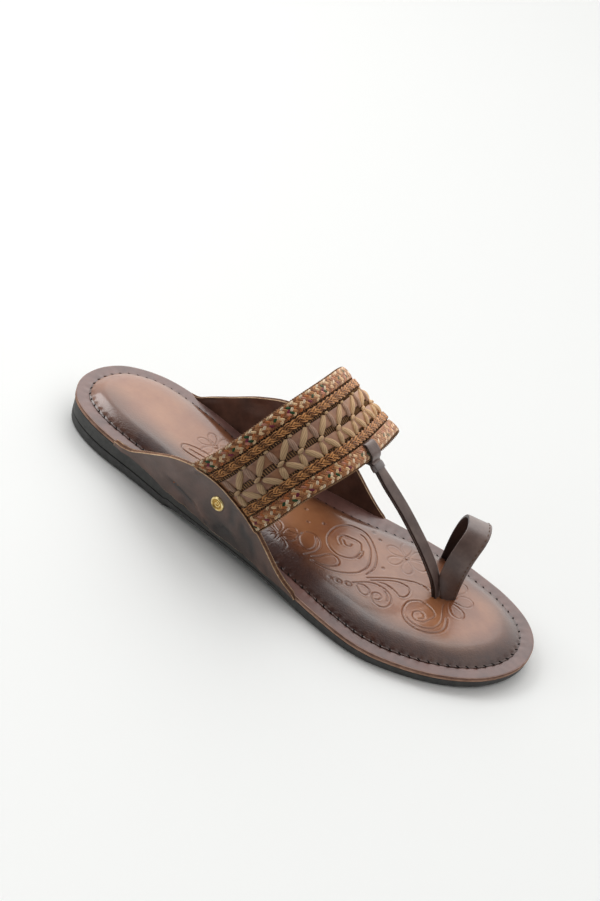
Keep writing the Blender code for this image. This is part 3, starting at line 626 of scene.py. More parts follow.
# The sole's side from the tread up: inset, further depth of the groove, share of the height under the board
SOLE_SIDE = [(1.3, 0.0, 0.02), (0.9, 0.0, 0.06), (0.6, 0.0, 0.13), (0.5, 0.0, 0.2), (0.5, 0.0, 0.38),
             (0.5, 0.15, 0.405), (0.5, 0.75, 0.42), (0.5, 0.9, 0.44), (0.5, 0.75, 0.46), (0.5, 0.15, 0.475),
             (0.5, 0.0, 0.5), (0.5, 0.0, 0.8), (0.35, 0.0, 0.93), (0.3, 0.0, 0.98), (0.7, 0.0, 1.0)]


def mottled(name, values, dark, light, cloud, limits, pores, strength, depth_mm):
    """A finish that drifts between two colours by one noise, cloud, and is roughened by another, pores."""
    made, tree, shader = start_finish(name, values)
    place = add(tree, "ShaderNodeTexCoord").outputs["Object"]
    drift = add(tree, "ShaderNodeTexNoise", cloud, {"Vector": place})
    tone = add(tree, "ShaderNodeMapRange", {1: limits[0], 2: limits[1]}, {0: drift.outputs["Fac"]})
    mix = add(tree, "ShaderNodeMix", {"data_type": "RGBA", 6: linear(dark), 7: linear(light)},
              {0: tone.outputs[0]})
    rough = add(tree, "ShaderNodeTexNoise", pores, {"Vector": place})
    bump = add(tree, "ShaderNodeBump", {"Strength": strength, "Distance": depth_mm * MM},
               {"Height": rough.outputs["Fac"]})
    dress(tree, shader, mix.outputs[2], bump)
    return made


# Moulded, lightly worn rubber: a matt charcoal with pale dust in its pores
rubber = mottled("charcoal_rubber", {"Roughness": 0.72, "IOR": 1.52}, "#383837", "#4C4C4A",
                 {"Scale": 260.0, "Detail": 6.0, "Roughness": 0.7}, (0.35, 0.7),
                 {"Scale": 1500.0, "Detail": 3.0}, 0.5, 0.12)


def side_height(share):
    """Height of a ring on the sole's side, share 0 at the tread to 1 under the board."""
    return lambda x, y, turn: tread(x) + (board_base(x) - GAP - tread(x)) * share


def side_inset(inset, groove=0.0):
    return lambda x, side: inset + groove * (1 - ease(x, *GROOVE_FADE))


mesh, edges = start_ring(SOLE_POINTS, side_inset(TREAD_INSET), side_height(0.0))
under = edges
for inset, groove, share in SOLE_SIDE:
    edges = step_ring(mesh, edges, side_inset(inset, groove), side_height(share))
close_ring(mesh, edges, side_inset(3.0), side_height(1.0))
close_ring(mesh, under, side_inset(4.0), side_height(0.0), *TREAD_CELLS)
settle("rubber_outsole", mesh, [rubber], ["outsole"])

# %% [markdown]
# The board is two layers of sole leather, glued and burnished together, with a dark line between them. Its
# top shows as a rim 7 mm wide round the pad, pulled into small hollows by the stitches. The cut side of the
# upper layer is stained, that of the lower one is left paler. The layers are rings again, one for each turn
# of the rounded edge. Where the wings are sewn on outside it, the board steps in by their thickness.

# %% Leather board
WING_START, WING_END = 43.0, 164.0
WING_NOTCH = 7.0
WING_THICK, WING_PROUD = 2.6, 0.6
STITCH_PITCH = 4.7


def wing_room(x, side):
    """How far the board's edge steps in where a wing passes outside it."""
    start = ease(x, WING_START - 0.5, WING_START - 0.5 + WING_NOTCH)
    end = 1 - ease(x, WING_END + 0.5 - WING_NOTCH, WING_END + 0.5)
    return start * end * (WING_THICK - WING_PROUD + GAP)


# Bare border of the board round the pad: distance from the heel, lateral, medial
PAD_BORDER = [
    (0.0, 6.9, 6.9), (45.0, 6.9, 6.9), (80.0, 6.9, 8.8), (97.0, 6.9, 10.2), (111.0, 6.9, 11.5),
    (124.0, 6.9, 12.4), (138.0, 6.9, 13.0), (152.0, 6.9, 12.2), (166.0, 6.9, 10.0), (182.0, 6.9, 7.6),
    (200.0, 6.9, 6.9), (265.0, 6.9, 6.9),
]


def pad_inset(x, side):
    return np.where(side > 0, curve(x, PAD_BORDER, 2), curve(x, PAD_BORDER, 1))


stitch_ring = inset_ring(RIM_TURN, lambda x, side: pad_inset(x, side) + 0.5)
stitch_run = run_along(stitch_ring)
STITCHES = round(stitch_run[-1] / STITCH_PITCH)


def pucker(turn):
    """1 at each stitch round the pad and 0 halfway to the next."""
    return 0.5 + 0.5 * np.cos(2 * np.pi * STITCHES * np.interp(turn, RIM_TURN, stitch_run) / stitch_run[-1])


GLUE_LINE = (0.47, 0.53)          # end of the lower layer and start of the upper, as shares of the board
LOWER_POINTS, UPPER_POINTS = 360, 1080      # in each ring; the upper layer needs some for every stitch
ROUNDED = 0.18                    # share of a layer's thickness over which its edge is rounded
STITCH_HOLLOW, RIM_WAVE = 0.16, 0.08
# Rings of the rim from the edge in: inset, and share of the hollows that the stitches pull
RIM_RINGS = [(0.8, 0.0), (2.0, 0.05), (3.4, 0.2), (4.6, 0.55), (5.6, 1.0), (6.4, 1.0)]


def layer_height(share):
    return lambda x, y, turn: board_base(x) + BOARD_THICK * share


def layer_inset(more):
    return lambda x, side: wing_room(x, side) + more


def layer_rings(low, high, count, face, pale):
    """One leather layer between two shares of the board's thickness, as the rings of its rounded edge. Its
    side gets the material face and its upper corner the material pale.
    """
    mesh, edges = start_ring(count, layer_inset(1.2), layer_height(low))
    under = edges
    bend = (high - low) * ROUNDED
    for more, share, finish in ((0.35, low, face), (0.1, low + bend * 0.4, face), (0.0, low + bend, face),
                                (0.0, high - bend, face), (0.08, high - bend * 0.4, pale), (0.3, high, pale)):
        edges = step_ring(mesh, edges, layer_inset(more), layer_height(share), material=finish)
    return mesh, edges, under


def rim_inset(more):
    return lambda x, side: np.minimum(wing_room(x, side) + more, pad_inset(x, side) - 0.2)


def rim_height(hollow):
    return lambda x, y, turn: (board_top(x) - STITCH_HOLLOW * hollow * pucker(turn)
                               + RIM_WAVE * np.sin(turn * 37) * hollow)


def pad_ring(depth):
    """A ring that lies depth inside the pad's edge."""
    return lambda x, side: pad_inset(x, side) + depth


lower_layer, edges, under = layer_rings(0.0, GLUE_LINE[0], LOWER_POINTS, face=3, pale=3)
close_ring(lower_layer, edges, layer_inset(4.0), layer_height(GLUE_LINE[0]))
close_ring(lower_layer, under, layer_inset(4.0), layer_height(0.0))
# The upper layer's rounded corner takes the pale finish, a painted highlight along the board.
mesh, edges, under = layer_rings(GLUE_LINE[1], 1.0, UPPER_POINTS, face=1, pale=2)
close_ring(mesh, under, layer_inset(4.0), layer_height(GLUE_LINE[1]))
for more, hollow in RIM_RINGS:
    edges = step_ring(mesh, edges, rim_inset(more), rim_height(hollow))
edges = step_ring(mesh, edges, pad_ring(1.5), lambda x, y, turn: board_top(x) - 0.2)
close_ring(mesh, edges, pad_ring(5.0), lambda x, y, turn: board_top(x) - 0.2)
gather(mesh, lower_layer)
settle("leather_board_layers", mesh, [board_leather, board_edge, board_corner_highlight, lower_edge],
       ["leather_board"])

# %% [markdown]
# The insole's ornament is the free scroll and flower work that is stamped into such leather with a wheel and
# a swivel knife. An image could press it in, but its lines would blur where the view comes close. So it is
# charted here, as curves in shoe millimetres, and a search tree finds the one nearest to any point.

# %% The tooled ornament, charted in shoe millimetres
SCROLLS = [
    [(160, -2), (157.8, 0), (157.2, 2), (158, 4.5), (161, 6), (164, 7), (166.5, 6.8), (168.5, 4.5), (170, 1),
     (170.3, -3), (169.5, -6), (166, -9), (162, -10), (158, -9), (155, -6.5), (153, -3), (152.3, 0), (152, 4),
     (152.5, 7.5), (155, 12), (158, 14.3), (162, 15.5), (166, 15), (170, 12.8), (174, 9.3), (177.5, 5),
     (180, 0), (181, -5), (180.5, -10)],
    [(164, 2.5), (164, .5), (163, -.5), (161.5, -.3), (159.5, 1.5)],
    [(170.5, 3), (171.7, 0), (171.7, -4)],
    [(163.5, 12.3), (166, 12), (170, 9.5), (172.5, 7), (175, 3), (177, -1), (178, -5), (177.8, -9),
     (176.5, -13), (173.5, -17), (170, -20.5), (166, -23), (162, -24.3), (157, -25)],
    [(156, -22.3), (158.5, -18), (159.8, -14.5), (161.5, -12.6), (163.5, -12), (166, -13), (167.3, -15.5),
     (166.5, -18.5), (164.5, -21), (161.5, -23), (158, -24)],
    [(144.5, -10), (147, -8.3), (150, -8.2), (153, -10), (154.8, -13), (155.2, -17), (154.2, -21),
     (152.5, -24.5)],
    [(149.5, -9.5), (151.5, -11.5), (153, -15), (153, -17.5), (152, -20), (149.5, -20.5), (146.5, -19),
     (144, -16), (143.5, -12)],
    [(138.5, -17), (140, -16.5), (142.5, -15), (144, -18), (143.5, -22), (141, -24)],
    [(182, -11.5), (186, -6.5), (190, -2), (195, 2.5), (200, 6), (205, 7.5), (208, 7)],
    [(184.3, -11.5), (188, -7), (192, -2.5), (196, -.3), (199.5, 0), (201.5, -1.8), (202.3, -5), (201.5, -8),
     (199.5, -9.3), (197, -8.3), (193, -7.5), (189.5, -8.2), (186.8, -9.8)],
    [(179, -20.5), (182.5, -15.5), (185, -13), (188, -11.5), (192, -11), (196, -12.5), (198.5, -15.5),
     (199.5, -19), (198.5, -22.5), (196, -24), (193.5, -23.8), (191, -22), (189.7, -19), (190.5, -16.8),
     (192.3, -16.2), (194, -17.5), (194, -19.8), (192.5, -21.3)],
    [(193, -12.5), (196, -15), (197.3, -18)],
    [(181, -19.5), (182.5, -17.8), (185, -17.2), (187.5, -18.3), (188.5, -20.5), (188, -22.7), (186, -23.3),
     (183.5, -22.3), (181.5, -20.7)],
    [(214.3, -14.8), (215.8, -13.2), (214.8, -10.8), (212.8, -10), (211, -11.3), (210.3, -13.5), (211.5, -16),
     (214, -17), (216.8, -15.5), (218, -12), (218.8, -8), (217.5, -5.5), (214.5, -3.8), (211, -3.2),
     (208, -4), (205.5, -6.8), (204.5, -10.5), (206, -17), (209.5, -21), (213.5, -22.5), (218, -22.3),
     (222.5, -20), (225.5, -16), (226.3, -12), (225.3, -7.5), (223.5, -4)],
    [(210, -19.3), (215, -20.2), (219, -19), (222, -16), (223, -12), (222.5, -7), (220.5, -2.5), (218.5, 1.5),
     (217.8, 4)],
    [(127, -17), (123, -13), (119, -11), (113, -13), (110.5, -18), (113, -22.5), (117.5, -22.5),
     (119.5, -19.5), (117.8, -17), (115.5, -17.5)],
    [(128, -9), (120, -5), (112, -5), (105, -9), (100, -7), (97, -1), (99, 5), (104, 7.5), (109, 5),
     (109.5, 0), (106, -2), (103.5, 0), (104.5, 2.8)],
    [(96, -5), (88, -10), (80, -12), (70, -13), (68, -9.5), (74, -6), (82, -4.5), (90, -4.5), (95, -4)],
    [(94, -4.6), (84, -7.5), (72, -10)],
    [(124, 4), (118, 8), (112, 13), (106, 15.5), (99, 15), (94, 11), (95, 6.5), (99.5, 9.5)],
]
# Flowers: centre, length and width of a petal, turn of the first one in degrees, count
PETALS = [(188.3, 17.6, 9.6, 5.6, 2.0, 6), (79.0, 3.5, 8.0, 4.6, 20.0, 6), (137.0, -23.0, 8.6, 4.6, 12.0, 6),
          (217.4, 8.8, 11.0, 7.4, 35.0, 1), (218.0, 8.2, 11.0, 6.4, -32.0, 1),
          (216.9, 11.5, 12.0, 6.6, 84.0, 1)]
RINGS = [(178, -23.2, 1.5), (173.8, -25.5, 1.3), (188.3, 17.6, 1.1), (79, 3.5, 1.3), (217, 9.6, 1.5)]
DOTS = [(169.5, -26.8, .9), (172.1, 17.6, 1.0), (167, 20, 1.3), (183.8, 1.3, 1.1), (147, 3, 1.0),
        (141, -3, 1.0), (135, 4, 1.0), (90, 12, 1.0), (86, -15.5, 1.0)]
PETAL_FORCE = 0.5         # the petals are pressed this much as deep as the scrolls
PETAL_START = 1.6         # distance of a petal from the flower's centre
GROOVE_STEP = 0.3


def smooth_line(knots):
    """Points every GROOVE_STEP along a smooth curve through knots (Catmull-Rom)."""
    knots = np.array([knots[0]] + list(knots) + [knots[-1]], float)
    line = []
    for a, b, c, d in zip(knots, knots[1:], knots[2:], knots[3:]):
        steps = max(2, int(np.linalg.norm(c - b) / GROOVE_STEP))
        t = (np.arange(steps) / steps)[:, None]
        line.append(0.5 * (2 * b + (c - a) * t + (2 * a - 5 * b + 4 * c - d) * t ** 2
                           + (3 * b - a - 3 * c + d) * t ** 3))
    return np.concatenate(line)


def circle(x, y, radius):
    angles = np.arange(0, 2 * np.pi, GROOVE_STEP / radius)
    return np.column_stack([x + radius * np.cos(angles), y + radius * np.sin(angles)])


def petal(x, y, length, width, turn):
    """Outline of one petal that starts near the flower's centre."""
    t = (1 - np.cos(np.pi * np.linspace(0, 1, 40))) / 2
    out = np.concatenate([t, t[::-1]]) * length + PETAL_START
    full = np.sqrt(np.sin(np.pi * t ** 1.5))
    aside = np.concatenate([full, -full[::-1]]) * width / 2
    return np.column_stack([x + out * math.cos(turn) - aside * math.sin(turn),
                            y + out * math.sin(turn) + aside * math.cos(turn)])


def plan_tree(points):
    """A tree that finds the nearest of some plan points quickly."""
    tree = KDTree(len(points))
    for k, (x, y) in enumerate(points):
        tree.insert((x, y, 0), k)
    tree.balance()
    return tree


lines = [smooth_line(row) for row in SCROLLS] + [circle(*row) for row in RINGS]
force = [1.0] * len(lines)
for x, y, length, width, first, count in PETALS:
    lines += [petal(x, y, length, width, math.radians(first + 360 / count * k)) for k in range(count)]
    force += [PETAL_FORCE] * count
stamped = np.concatenate(lines)
pressed = np.concatenate([np.full(len(line), share) for line, share in zip(lines, force)])
tool_tree = plan_tree(stamped)
print(f"{len(lines)} tooled lines, {len(stamped) * GROOVE_STEP:.0f} mm of groove")

# %% [markdown]
# The tan hide of the insole is burnished nearly black toward its border, and its colour is darker along the
# tooled lines. Neither follows a pattern that a texture node could make. So the points of the piece will
# carry two numbers, which the finish reads as attributes: "burnish" is how dark the border is, and "tool" is
# the distance to the nearest tooled line, as a share of TOOL_RANGE.

# %% Insole leather
TOOL_RANGE = 4.0


def insole_hide():
    """Tan leather burnished nearly black toward its border: glossy, pebbled where it is stretched."""
    made, tree, shader, mix, bump = leather("tooled_tan_leather", "#8E5433", "#AE754E", grain_mm=0.8,
                                            depth_mm=0.05, roughness=0.32, coat=0.6, blotch_mm=30.0,
                                            wrinkle=0.6, coat_roughness=0.16)
    burnish = add(tree, "ShaderNodeAttribute", {"attribute_name": "burnish"}).outputs["Fac"]
    tool = add(tree, "ShaderNodeAttribute", {"attribute_name": "tool"}).outputs["Fac"]
    place = add(tree, "ShaderNodeTexCoord").outputs["Object"]
    cloud = add(tree, "ShaderNodeTexNoise", {"Scale": 130.0, "Detail": 5.0, "Roughness": 0.65},
                {"Vector": place})
    spread = add(tree, "ShaderNodeMath", {"operation": "MULTIPLY_ADD", 1: 0.4, 2: -0.2},
                 {0: cloud.outputs["Fac"]})
    edge = add(tree, "ShaderNodeMath", {"operation": "ADD"}, {0: burnish, 1: spread.outputs[0]})
    dark = add(tree, "ShaderNodeMapRange", {1: 0.0, 2: 1.0}, {0: edge.outputs[0]})
    border_tone = add(tree, "ShaderNodeMix", {"data_type": "RGBA", 7: linear("#3A1A10")},
                      {0: dark.outputs[0], 6: mix.outputs[2]})
    cut = add(tree, "ShaderNodeMapRange", {1: 0.1 / TOOL_RANGE, 2: 0.6 / TOOL_RANGE, 3: 0.4, 4: 0.0,
                                           "interpolation_type": "SMOOTHSTEP"}, {0: tool})
    line_tone = add(tree, "ShaderNodeMix", {"data_type": "RGBA", 7: linear("#4A281C")},
                    {0: cut.outputs[0], 6: border_tone.outputs[2]})
    pebbles = add(tree, "ShaderNodeTexVoronoi", {"Scale": 1000 / 0.65, "feature": "SMOOTH_F1"},
                  {"Vector": place})
    strength = add(tree, "ShaderNodeMapRange", {1: 0.2, 2: 0.8, 3: 0.03, 4: 0.5}, {0: burnish})
    pebbled = add(tree, "ShaderNodeBump", {"Distance": 0.2 * MM},
                  {"Height": pebbles.outputs["Distance"], "Strength": strength.outputs[0],
                   "Normal": bump.outputs["Normal"]})
    wall = add(tree, "ShaderNodeMapRange", {1: 0.05 / TOOL_RANGE, 2: 0.7 / TOOL_RANGE,
                                            "interpolation_type": "SMOOTHSTEP"}, {0: tool})
    sunk = add(tree, "ShaderNodeBump", {"Strength": 0.4, "Distance": 0.2 * MM},
               {"Height": wall.outputs[0], "Normal": pebbled.outputs["Normal"]})
    dress(tree, shader, line_tone.outputs[2], sunk)
    return made


insole_leather = insole_hide()

# %% [markdown]
# The insole is thin foam under one piece of leather, sewn down round its edge, so its border swells up from
# the stitches and its middle dishes a little. Padded pieces are often made by a cloth simulation, but a
# simulation is remeshed and would lose the tooled lines, so here the swelling is a formula: a steep quarter
# sine over the border, a slow one that goes on behind it, a slight dish in the middle and a small pull at
# each stitch. A point near a tooled line sinks the more, the nearer it is.

# %% Padded insole
PAD_LIP, PAD_LIP_WIDTH = 0.15, 0.1         # the leather's cut edge, before it swells
PAD_RISE = 3.3                             # height of the swelling that the stitches pull in
PAD_CROWN, PAD_CROWN_WIDTH = 1.1, 20.0     # the slow rise that goes on behind it
PAD_DISH, PAD_WAVE = 0.5, 0.12
PAD_PULL, PAD_CREASE = 0.25, 0.1           # depths of the pull at each stitch and of the crease along them
TOOL_DEPTH, TOOL_HALF, TOOL_SHOULDER = 0.3, 0.36, 0.08
PAD_SHEET_DEPTH = 10.0                     # the grid reaches to this far from the pad's edge, and rings go on
TOOLED_COLUMNS, END_COLUMNS = 378, (24, 14)       # fine cells under the ornament, wide ones at heel and toe
TOOLED_REACH = (-0.584, 0.861)                    # where the ornament starts and ends along the pad, -1 to 1
PAD_ROWS = 140
PAD_RINGS = (8.8, 7.6, 6.5, 5.5, 4.6, 3.8, 3.1, 2.5, 2.0, 1.6, 1.2, 0.9, 0.65, 0.4)
# The leather's cut edge and its underside: depth inside the pad's edge, rise
PAD_HEM = [(0.1, 0.1), (-0.05, 0.02), (-0.2, -0.06), (-0.1, -0.18), (0.5, -0.2)]

# The border: place round the outline in turns from the heel over the medial side, width of the swelling,
# darkness of the burnish, depth where it begins to fade, depth where it ends
BORDER = [
    (0.0, 8.6, 0.12, 8.0, 22.0), (0.03, 8.6, 0.12, 3.0, 12.0), (0.06, 8.6, 0.13, 5.0, 12.0),
    (0.1, 8.6, 0.27, 5.0, 16.0), (0.15, 8.6, 0.54, 4.0, 18.0), (0.22, 9.0, 0.7, 4.0, 20.0),
    (0.3, 10.0, 0.77, 3.0, 20.0), (0.4, 11.0, 0.82, 3.0, 18.0), (0.45, 11.0, 0.88, 3.0, 20.0),
    (0.5, 11.0, 0.93, 3.0, 21.0), (0.56, 11.0, 0.94, 3.0, 21.5), (0.59, 11.5, 0.94, 3.0, 23.0),
    (0.62, 12.0, 0.95, 3.0, 26.0), (0.66, 12.0, 0.98, 5.0, 28.0), (0.7, 12.0, 1.0, 5.0, 33.0),
    (0.76, 11.0, 1.0, 5.0, 28.0), (0.82, 9.5, 1.0, 4.0, 24.0), (0.86, 8.6, 0.97, 3.0, 23.0),
    (0.89, 8.6, 0.8, 3.0, 23.0), (0.92, 8.6, 0.5, 8.0, 25.0), (0.94, 8.6, 0.44, 6.0, 25.0),
    (0.96, 8.6, 0.3, 10.0, 26.0), (0.98, 8.6, 0.18, 12.0, 28.0), (1.0, 8.6, 0.12, 8.0, 22.0),
]
RIM_DARKNESS = 0.95       # just outside the stitches the leather is as dark as the rim


def border_value(turn, column):
    rows = np.array(BORDER)
    return np.interp(np.asarray(turn) / (2 * np.pi), rows[:, 0], rows[:, column])


def pad_height(depth, turn):
    """Height of the pad over the board: a steep quarter sine and a slow one behind it."""
    steep = np.clip((depth - PAD_LIP_WIDTH) / border_value(turn, 1), 0, 1)
    slow = np.clip((depth - PAD_LIP_WIDTH) / PAD_CROWN_WIDTH, 0, 1)
    return PAD_LIP + (PAD_RISE - PAD_LIP) * np.sin(np.pi / 2 * steep) + PAD_CROWN * np.sin(np.pi / 2 * slow)


def pad_level(depth):
    """Height of a border ring, pulled down at each stitch."""
    pull = PAD_PULL * math.exp(-((depth - 0.9) / 0.9) ** 2)
    crease = PAD_CREASE * math.exp(-((depth - 0.5) / 0.3) ** 2)
    return lambda x, y, turn: board_top(x) + GAP + pad_height(depth, turn) - crease - pull * pucker(turn)


edge_tree = plan_tree(inset_ring(RIM_TURN, pad_ring(0.0)))


def border_place(x, y):
    """Depth of a plan point inside the pad's edge, and its place round the outline."""
    _, nearest, depth = edge_tree.find((x, y, 0))
    return depth, RIM_TURN[nearest]


columns = TOOLED_COLUMNS + sum(END_COLUMNS)
knots = (-1, -1 + 2 * END_COLUMNS[0] / columns, 1 - 2 * END_COLUMNS[1] / columns, 1)
mesh, plan, reach = sole_sheet(columns, PAD_ROWS, pad_ring(PAD_SHEET_DEPTH),
                               lambda u: np.interp(u, knots, (-1, *TOOLED_REACH, 1)))
dish = PAD_DISH * ease(1.3 * (1 - reach ** 2), 0, 1)
waves = PAD_WAVE * np.sin(plan[:, 0] / 9.0 + 1.0) * np.sin(plan[:, 1] / 7.0) * (1 - reach ** 2)
found = [tool_tree.find((x, y, 0)) for x, y in plan]
gap_to_line = np.array([row[2] for row in found])
share = pressed[[row[1] for row in found]]
groove = share * np.exp(-(gap_to_line / TOOL_HALF) ** 2)
shoulder = share * np.exp(-((gap_to_line - 0.9) / 0.4) ** 2)
dots = np.zeros(len(plan))
for x, y, radius in DOTS:
    dots = np.maximum(dots, 1 - ease(np.hypot(plan[:, 0] - x, plan[:, 1] - y), radius * 0.5, radius * 1.2))
depth, turn = np.array([border_place(x, y) for x, y in plan]).T
height = board_top(plan[:, 0]) + GAP + pad_height(depth, turn) - dish + waves
lay_sheet(mesh, plan, height - TOOL_DEPTH * np.maximum(groove, dots) + TOOL_SHOULDER * shoulder)
edges = border(mesh)
for depth in PAD_RINGS:
    edges = step_ring(mesh, edges, pad_ring(depth), pad_level(depth))
for depth, rise in PAD_HEM:
    edges = step_ring(mesh, edges, pad_ring(depth), lambda x, y, turn: board_top(x) + GAP + rise)
close_ring(mesh, edges, pad_ring(4.0), lambda x, y, turn: board_top(x) + GAP - 0.2)

burnish_layer = mesh.verts.layers.float.new("burnish")
tool_layer = mesh.verts.layers.float.new("tool")
for vert in mesh.verts:
    x, y, _ = vert.co
    depth, turn = border_place(x, y)
    inner = ease(depth, 0.0, 1.2)
    burnt = border_value(turn, 2) * (1 - ease(depth, border_value(turn, 3), border_value(turn, 4)))
    vert[burnish_layer] = burnt * inner + RIM_DARKNESS * (1 - inner)
    _, nearest, gap = tool_tree.find((x, y, 0))
    gaps = [math.hypot(x - dot_x, y - dot_y) - radius * 0.5 for dot_x, dot_y, radius in DOTS]
    gaps.append(max(gap, (1 - pressed[nearest]) * 0.8))
    vert[tool_layer] = min(max(min(gaps), 0.0) / TOOL_RANGE, 1.0) if depth > 3 else 1.0
insole = settle("padded_insole", mesh, [insole_leather], ["insole"])

# %% [markdown]
# Stitches are many copies of one small part. `scatter` adds the copies first, all at the same spot, and then
# works out every point at once: each copy has an origin and three axes, and its own points are measured
# along them. The unit is a sphere of eight by six faces drawn out to a grain, which is enough for a thread.

# %% Repeats, and the stitches round the pad
def grain_unit(around=8, along=6):
    """A unit sphere with its poles on X, so that its UV runs along the thread."""
    unit = new_mesh()
    bmesh.ops.create_uvsphere(unit, u_segments=around, v_segments=along, radius=1, calc_uvs=True)
    bmesh.ops.rotate(unit, verts=unit.verts, cent=(0, 0, 0), matrix=Matrix.Rotation(math.pi / 2, 3, "Y"))
    return unit


def scatter(mesh, unit, origins, axes, tints=None):
    """Adds a copy of the unit for each origin, with its X, Y and Z laid on the three axes of that copy."""
    data = bpy.data.meshes.new("unit")
    unit.to_mesh(data)
    base = points_of(unit)
    unit.free()
    start = len(mesh.verts)
    for _ in range(len(origins)):
        mesh.from_mesh(data)
    bpy.data.meshes.remove(data)
    spots = np.einsum("vk,nkj->nvj", base, axes) + np.asarray(origins)[:, None, :]
    layer = mesh.verts.layers.float_color.new("tint") if tints else None
    for k, (vert, spot) in enumerate(zip(list(mesh.verts)[start:], spots.reshape(-1, 3))):
        vert.co = spot
        if tints:
            vert[layer] = tints[k // len(base)]


def thread(name, colour, roughness=0.6):
    """Waxed twisted thread: two tones where the ply turns."""
    made, tree, shader = start_finish(name, {"Roughness": roughness, "IOR": 1.5, "Specular IOR Level": 0.2})
    flow = add(tree, "ShaderNodeUVMap", {"uv_map": "flow"}).outputs["UV"]
    ply = add(tree, "ShaderNodeTexWave", {"Scale": 3.0, "Distortion": 0.5, "bands_direction": "DIAGONAL"},
              {"Vector": flow})
    light, dark = linear(colour), tuple(0.5 * c for c in linear(colour)[:3]) + (1.0,)
    mix = add(tree, "ShaderNodeMix", {"data_type": "RGBA", 6: dark, 7: light}, {0: ply.outputs["Fac"]})
    bump = add(tree, "ShaderNodeBump", {"Strength": 0.6, "Distance": 0.1 * MM},
               {"Height": ply.outputs["Fac"]})
    dress(tree, shader, mix.outputs[2], bump)
    return made


dark_thread = thread("dark_waxed_thread", "#140C0A", 0.85)
STITCH_IN, STITCH_SINK = 0.35, 0.12
STITCH_LENGTH, STITCH_THICK, STITCH_SLANT = 2.1, 0.75, math.radians(38)
stitch_turn = np.interp(np.arange(STITCHES) * stitch_run[-1] / STITCHES, stitch_run, RIM_TURN)
spots = inset_ring(stitch_turn, pad_ring(STITCH_IN))
ahead = unit_rows(inset_ring(stitch_turn + 0.01, pad_ring(STITCH_IN)) - spots)
along = np.column_stack([ahead[:, 0] * math.cos(STITCH_SLANT) + ahead[:, 1] * math.sin(STITCH_SLANT),
                         ahead[:, 1] * math.cos(STITCH_SLANT) - ahead[:, 0] * math.sin(STITCH_SLANT),
                         np.zeros(STITCHES)])
aside = np.column_stack([-along[:, 1], along[:, 0], np.zeros(STITCHES)])
up = np.tile((0.0, 0.0, 1.0), (STITCHES, 1))
axes = np.stack([along * STITCH_LENGTH / 2, aside * STITCH_THICK / 2, up * STITCH_THICK / 2], axis=1)
origins = np.column_stack([spots, board_top(spots[:, 0]) + GAP + PAD_LIP - STITCH_SINK])
mesh = new_mesh()
scatter(mesh, grain_unit(), origins, axes)
settle("insole_stitches", mesh, [dark_thread])
print(f"{STITCHES} stitches, {stitch_run[-1] / STITCHES:.2f} mm apart")

# %% [markdown]
# Each wing is cut from two leathers: an outer one and a lining, pasted together with the end of the band
# between them. Both are cut flat here as well. A grid takes the wing's outline, gets the thickness of the
# hide, and has its corners softened; only then is it laid on the last, so the cut edge keeps its even width.
# The few folds of the photograph are soft troughs, listed where the leather buckles, and the covered end
# of the band swells the leather outside it. Each point also keeps a number for painted light, and the
# finish is darker or paler by it: painted shade in the folds and low in the middle of the wing, painted
# highlight on the ridges and painted reflection toward the rear and the front.

# %% Wings
# Upper edges of the wings: distance from the heel, height on the lateral side, height on the medial side
WING_TOPS = [
    (43.0, 2.5, 1.8), (48.0, 2.9, 2.7), (54.0, 4.9, 6.6), (65.0, 12.9, 13.7), (80.0, 23.4, 24.4),
    (95.0, 29.3, 32.3), (108.0, 30.4, 33.5), (120.0, 27.8, 31.0), (132.0, 23.0, 25.0), (142.0, 15.6, 17.5),
    (150.0, 8.4, 11.0), (156.0, 4.4, 6.6), (160.0, 3.0, 4.0), (162.6, 1.9, 2.4), (164.0, 0.7, 0.9),
]
# Edges of the band: distance from the heel as a polynomial of the place round the arch
BAND_REAR = (121.3, -1.1, -41.7, 14.7)
BAND_FRONT = (157.2, -2.5, -25.2, 14.7)
MEDIAL_TUCK, TUCK_START = 50.0, 0.43      # the front edge runs back where it goes under the medial wing
BAND_WIDTH = 43.5
BAND_PROUD = 0.2          # height of the band's net above the last
BAND_END = 0.92           # place round the arch where the band ends, between the leathers of a wing
HALF_BAND = 105.0         # nominal length of half a band, from the top of the arch to its foot
HIDE = 1.2                # thickness of one leather of a wing
PASTE = 0.15              # room for the paste between the leathers
WING_CELLS = (230, 40)

# Folds of a wing: start and end as distance from the heel and height, depth (below 0 a ridge), half width
FOLDS = {
    -1: [(80.0, 9.8, 97.0, 6.8, 1.15, 1.7), (99.0, 11.0, 106.0, 4.0, -0.75, 2.3),
         (112.5, 2.0, 118.5, 8.5, 0.9, 2.8), (121.0, 13.5, 127.5, 7.5, -0.6, 2.5),
         (126.0, 20.0, 130.0, 12.0, 0.7, 2.2), (119.5, 25.0, 121.5, 14.0, 0.6, 2.4),
         (86.0, 20.0, 100.0, 26.0, 0.3, 2.5), (62.0, 6.0, 74.0, 9.0, 0.35, 3.0),
         (132.0, 16.0, 137.0, 4.0, 0.5, 2.2), (105.0, 4.0, 108.0, 0.0, 0.4, 1.6),
         (90.0, 5.0, 93.0, 0.0, 0.35, 1.8), (144.0, 8.0, 147.0, 0.0, 0.35, 1.6)],
    1: [(104.0, 24.0, 107.0, 6.0, 0.6, 2.6), (122.0, 22.0, 119.0, 5.0, 0.6, 2.4),
        (74.0, 12.0, 88.0, 17.0, 0.35, 3.0), (134.0, 14.0, 139.0, 3.0, 0.4, 2.2)],
}

# Painted light on a wing: distance from the heel and darkness, strongest low down; above 0 painted shade,
# below 0 painted highlight and reflection
WING_PAINTED_LIGHT = [(43.0, -0.2), (90.0, -0.15), (103.0, 0.3), (118.0, 0.75), (130.0, 0.6), (141.0, 0.0),
            (164.0, -0.45)]


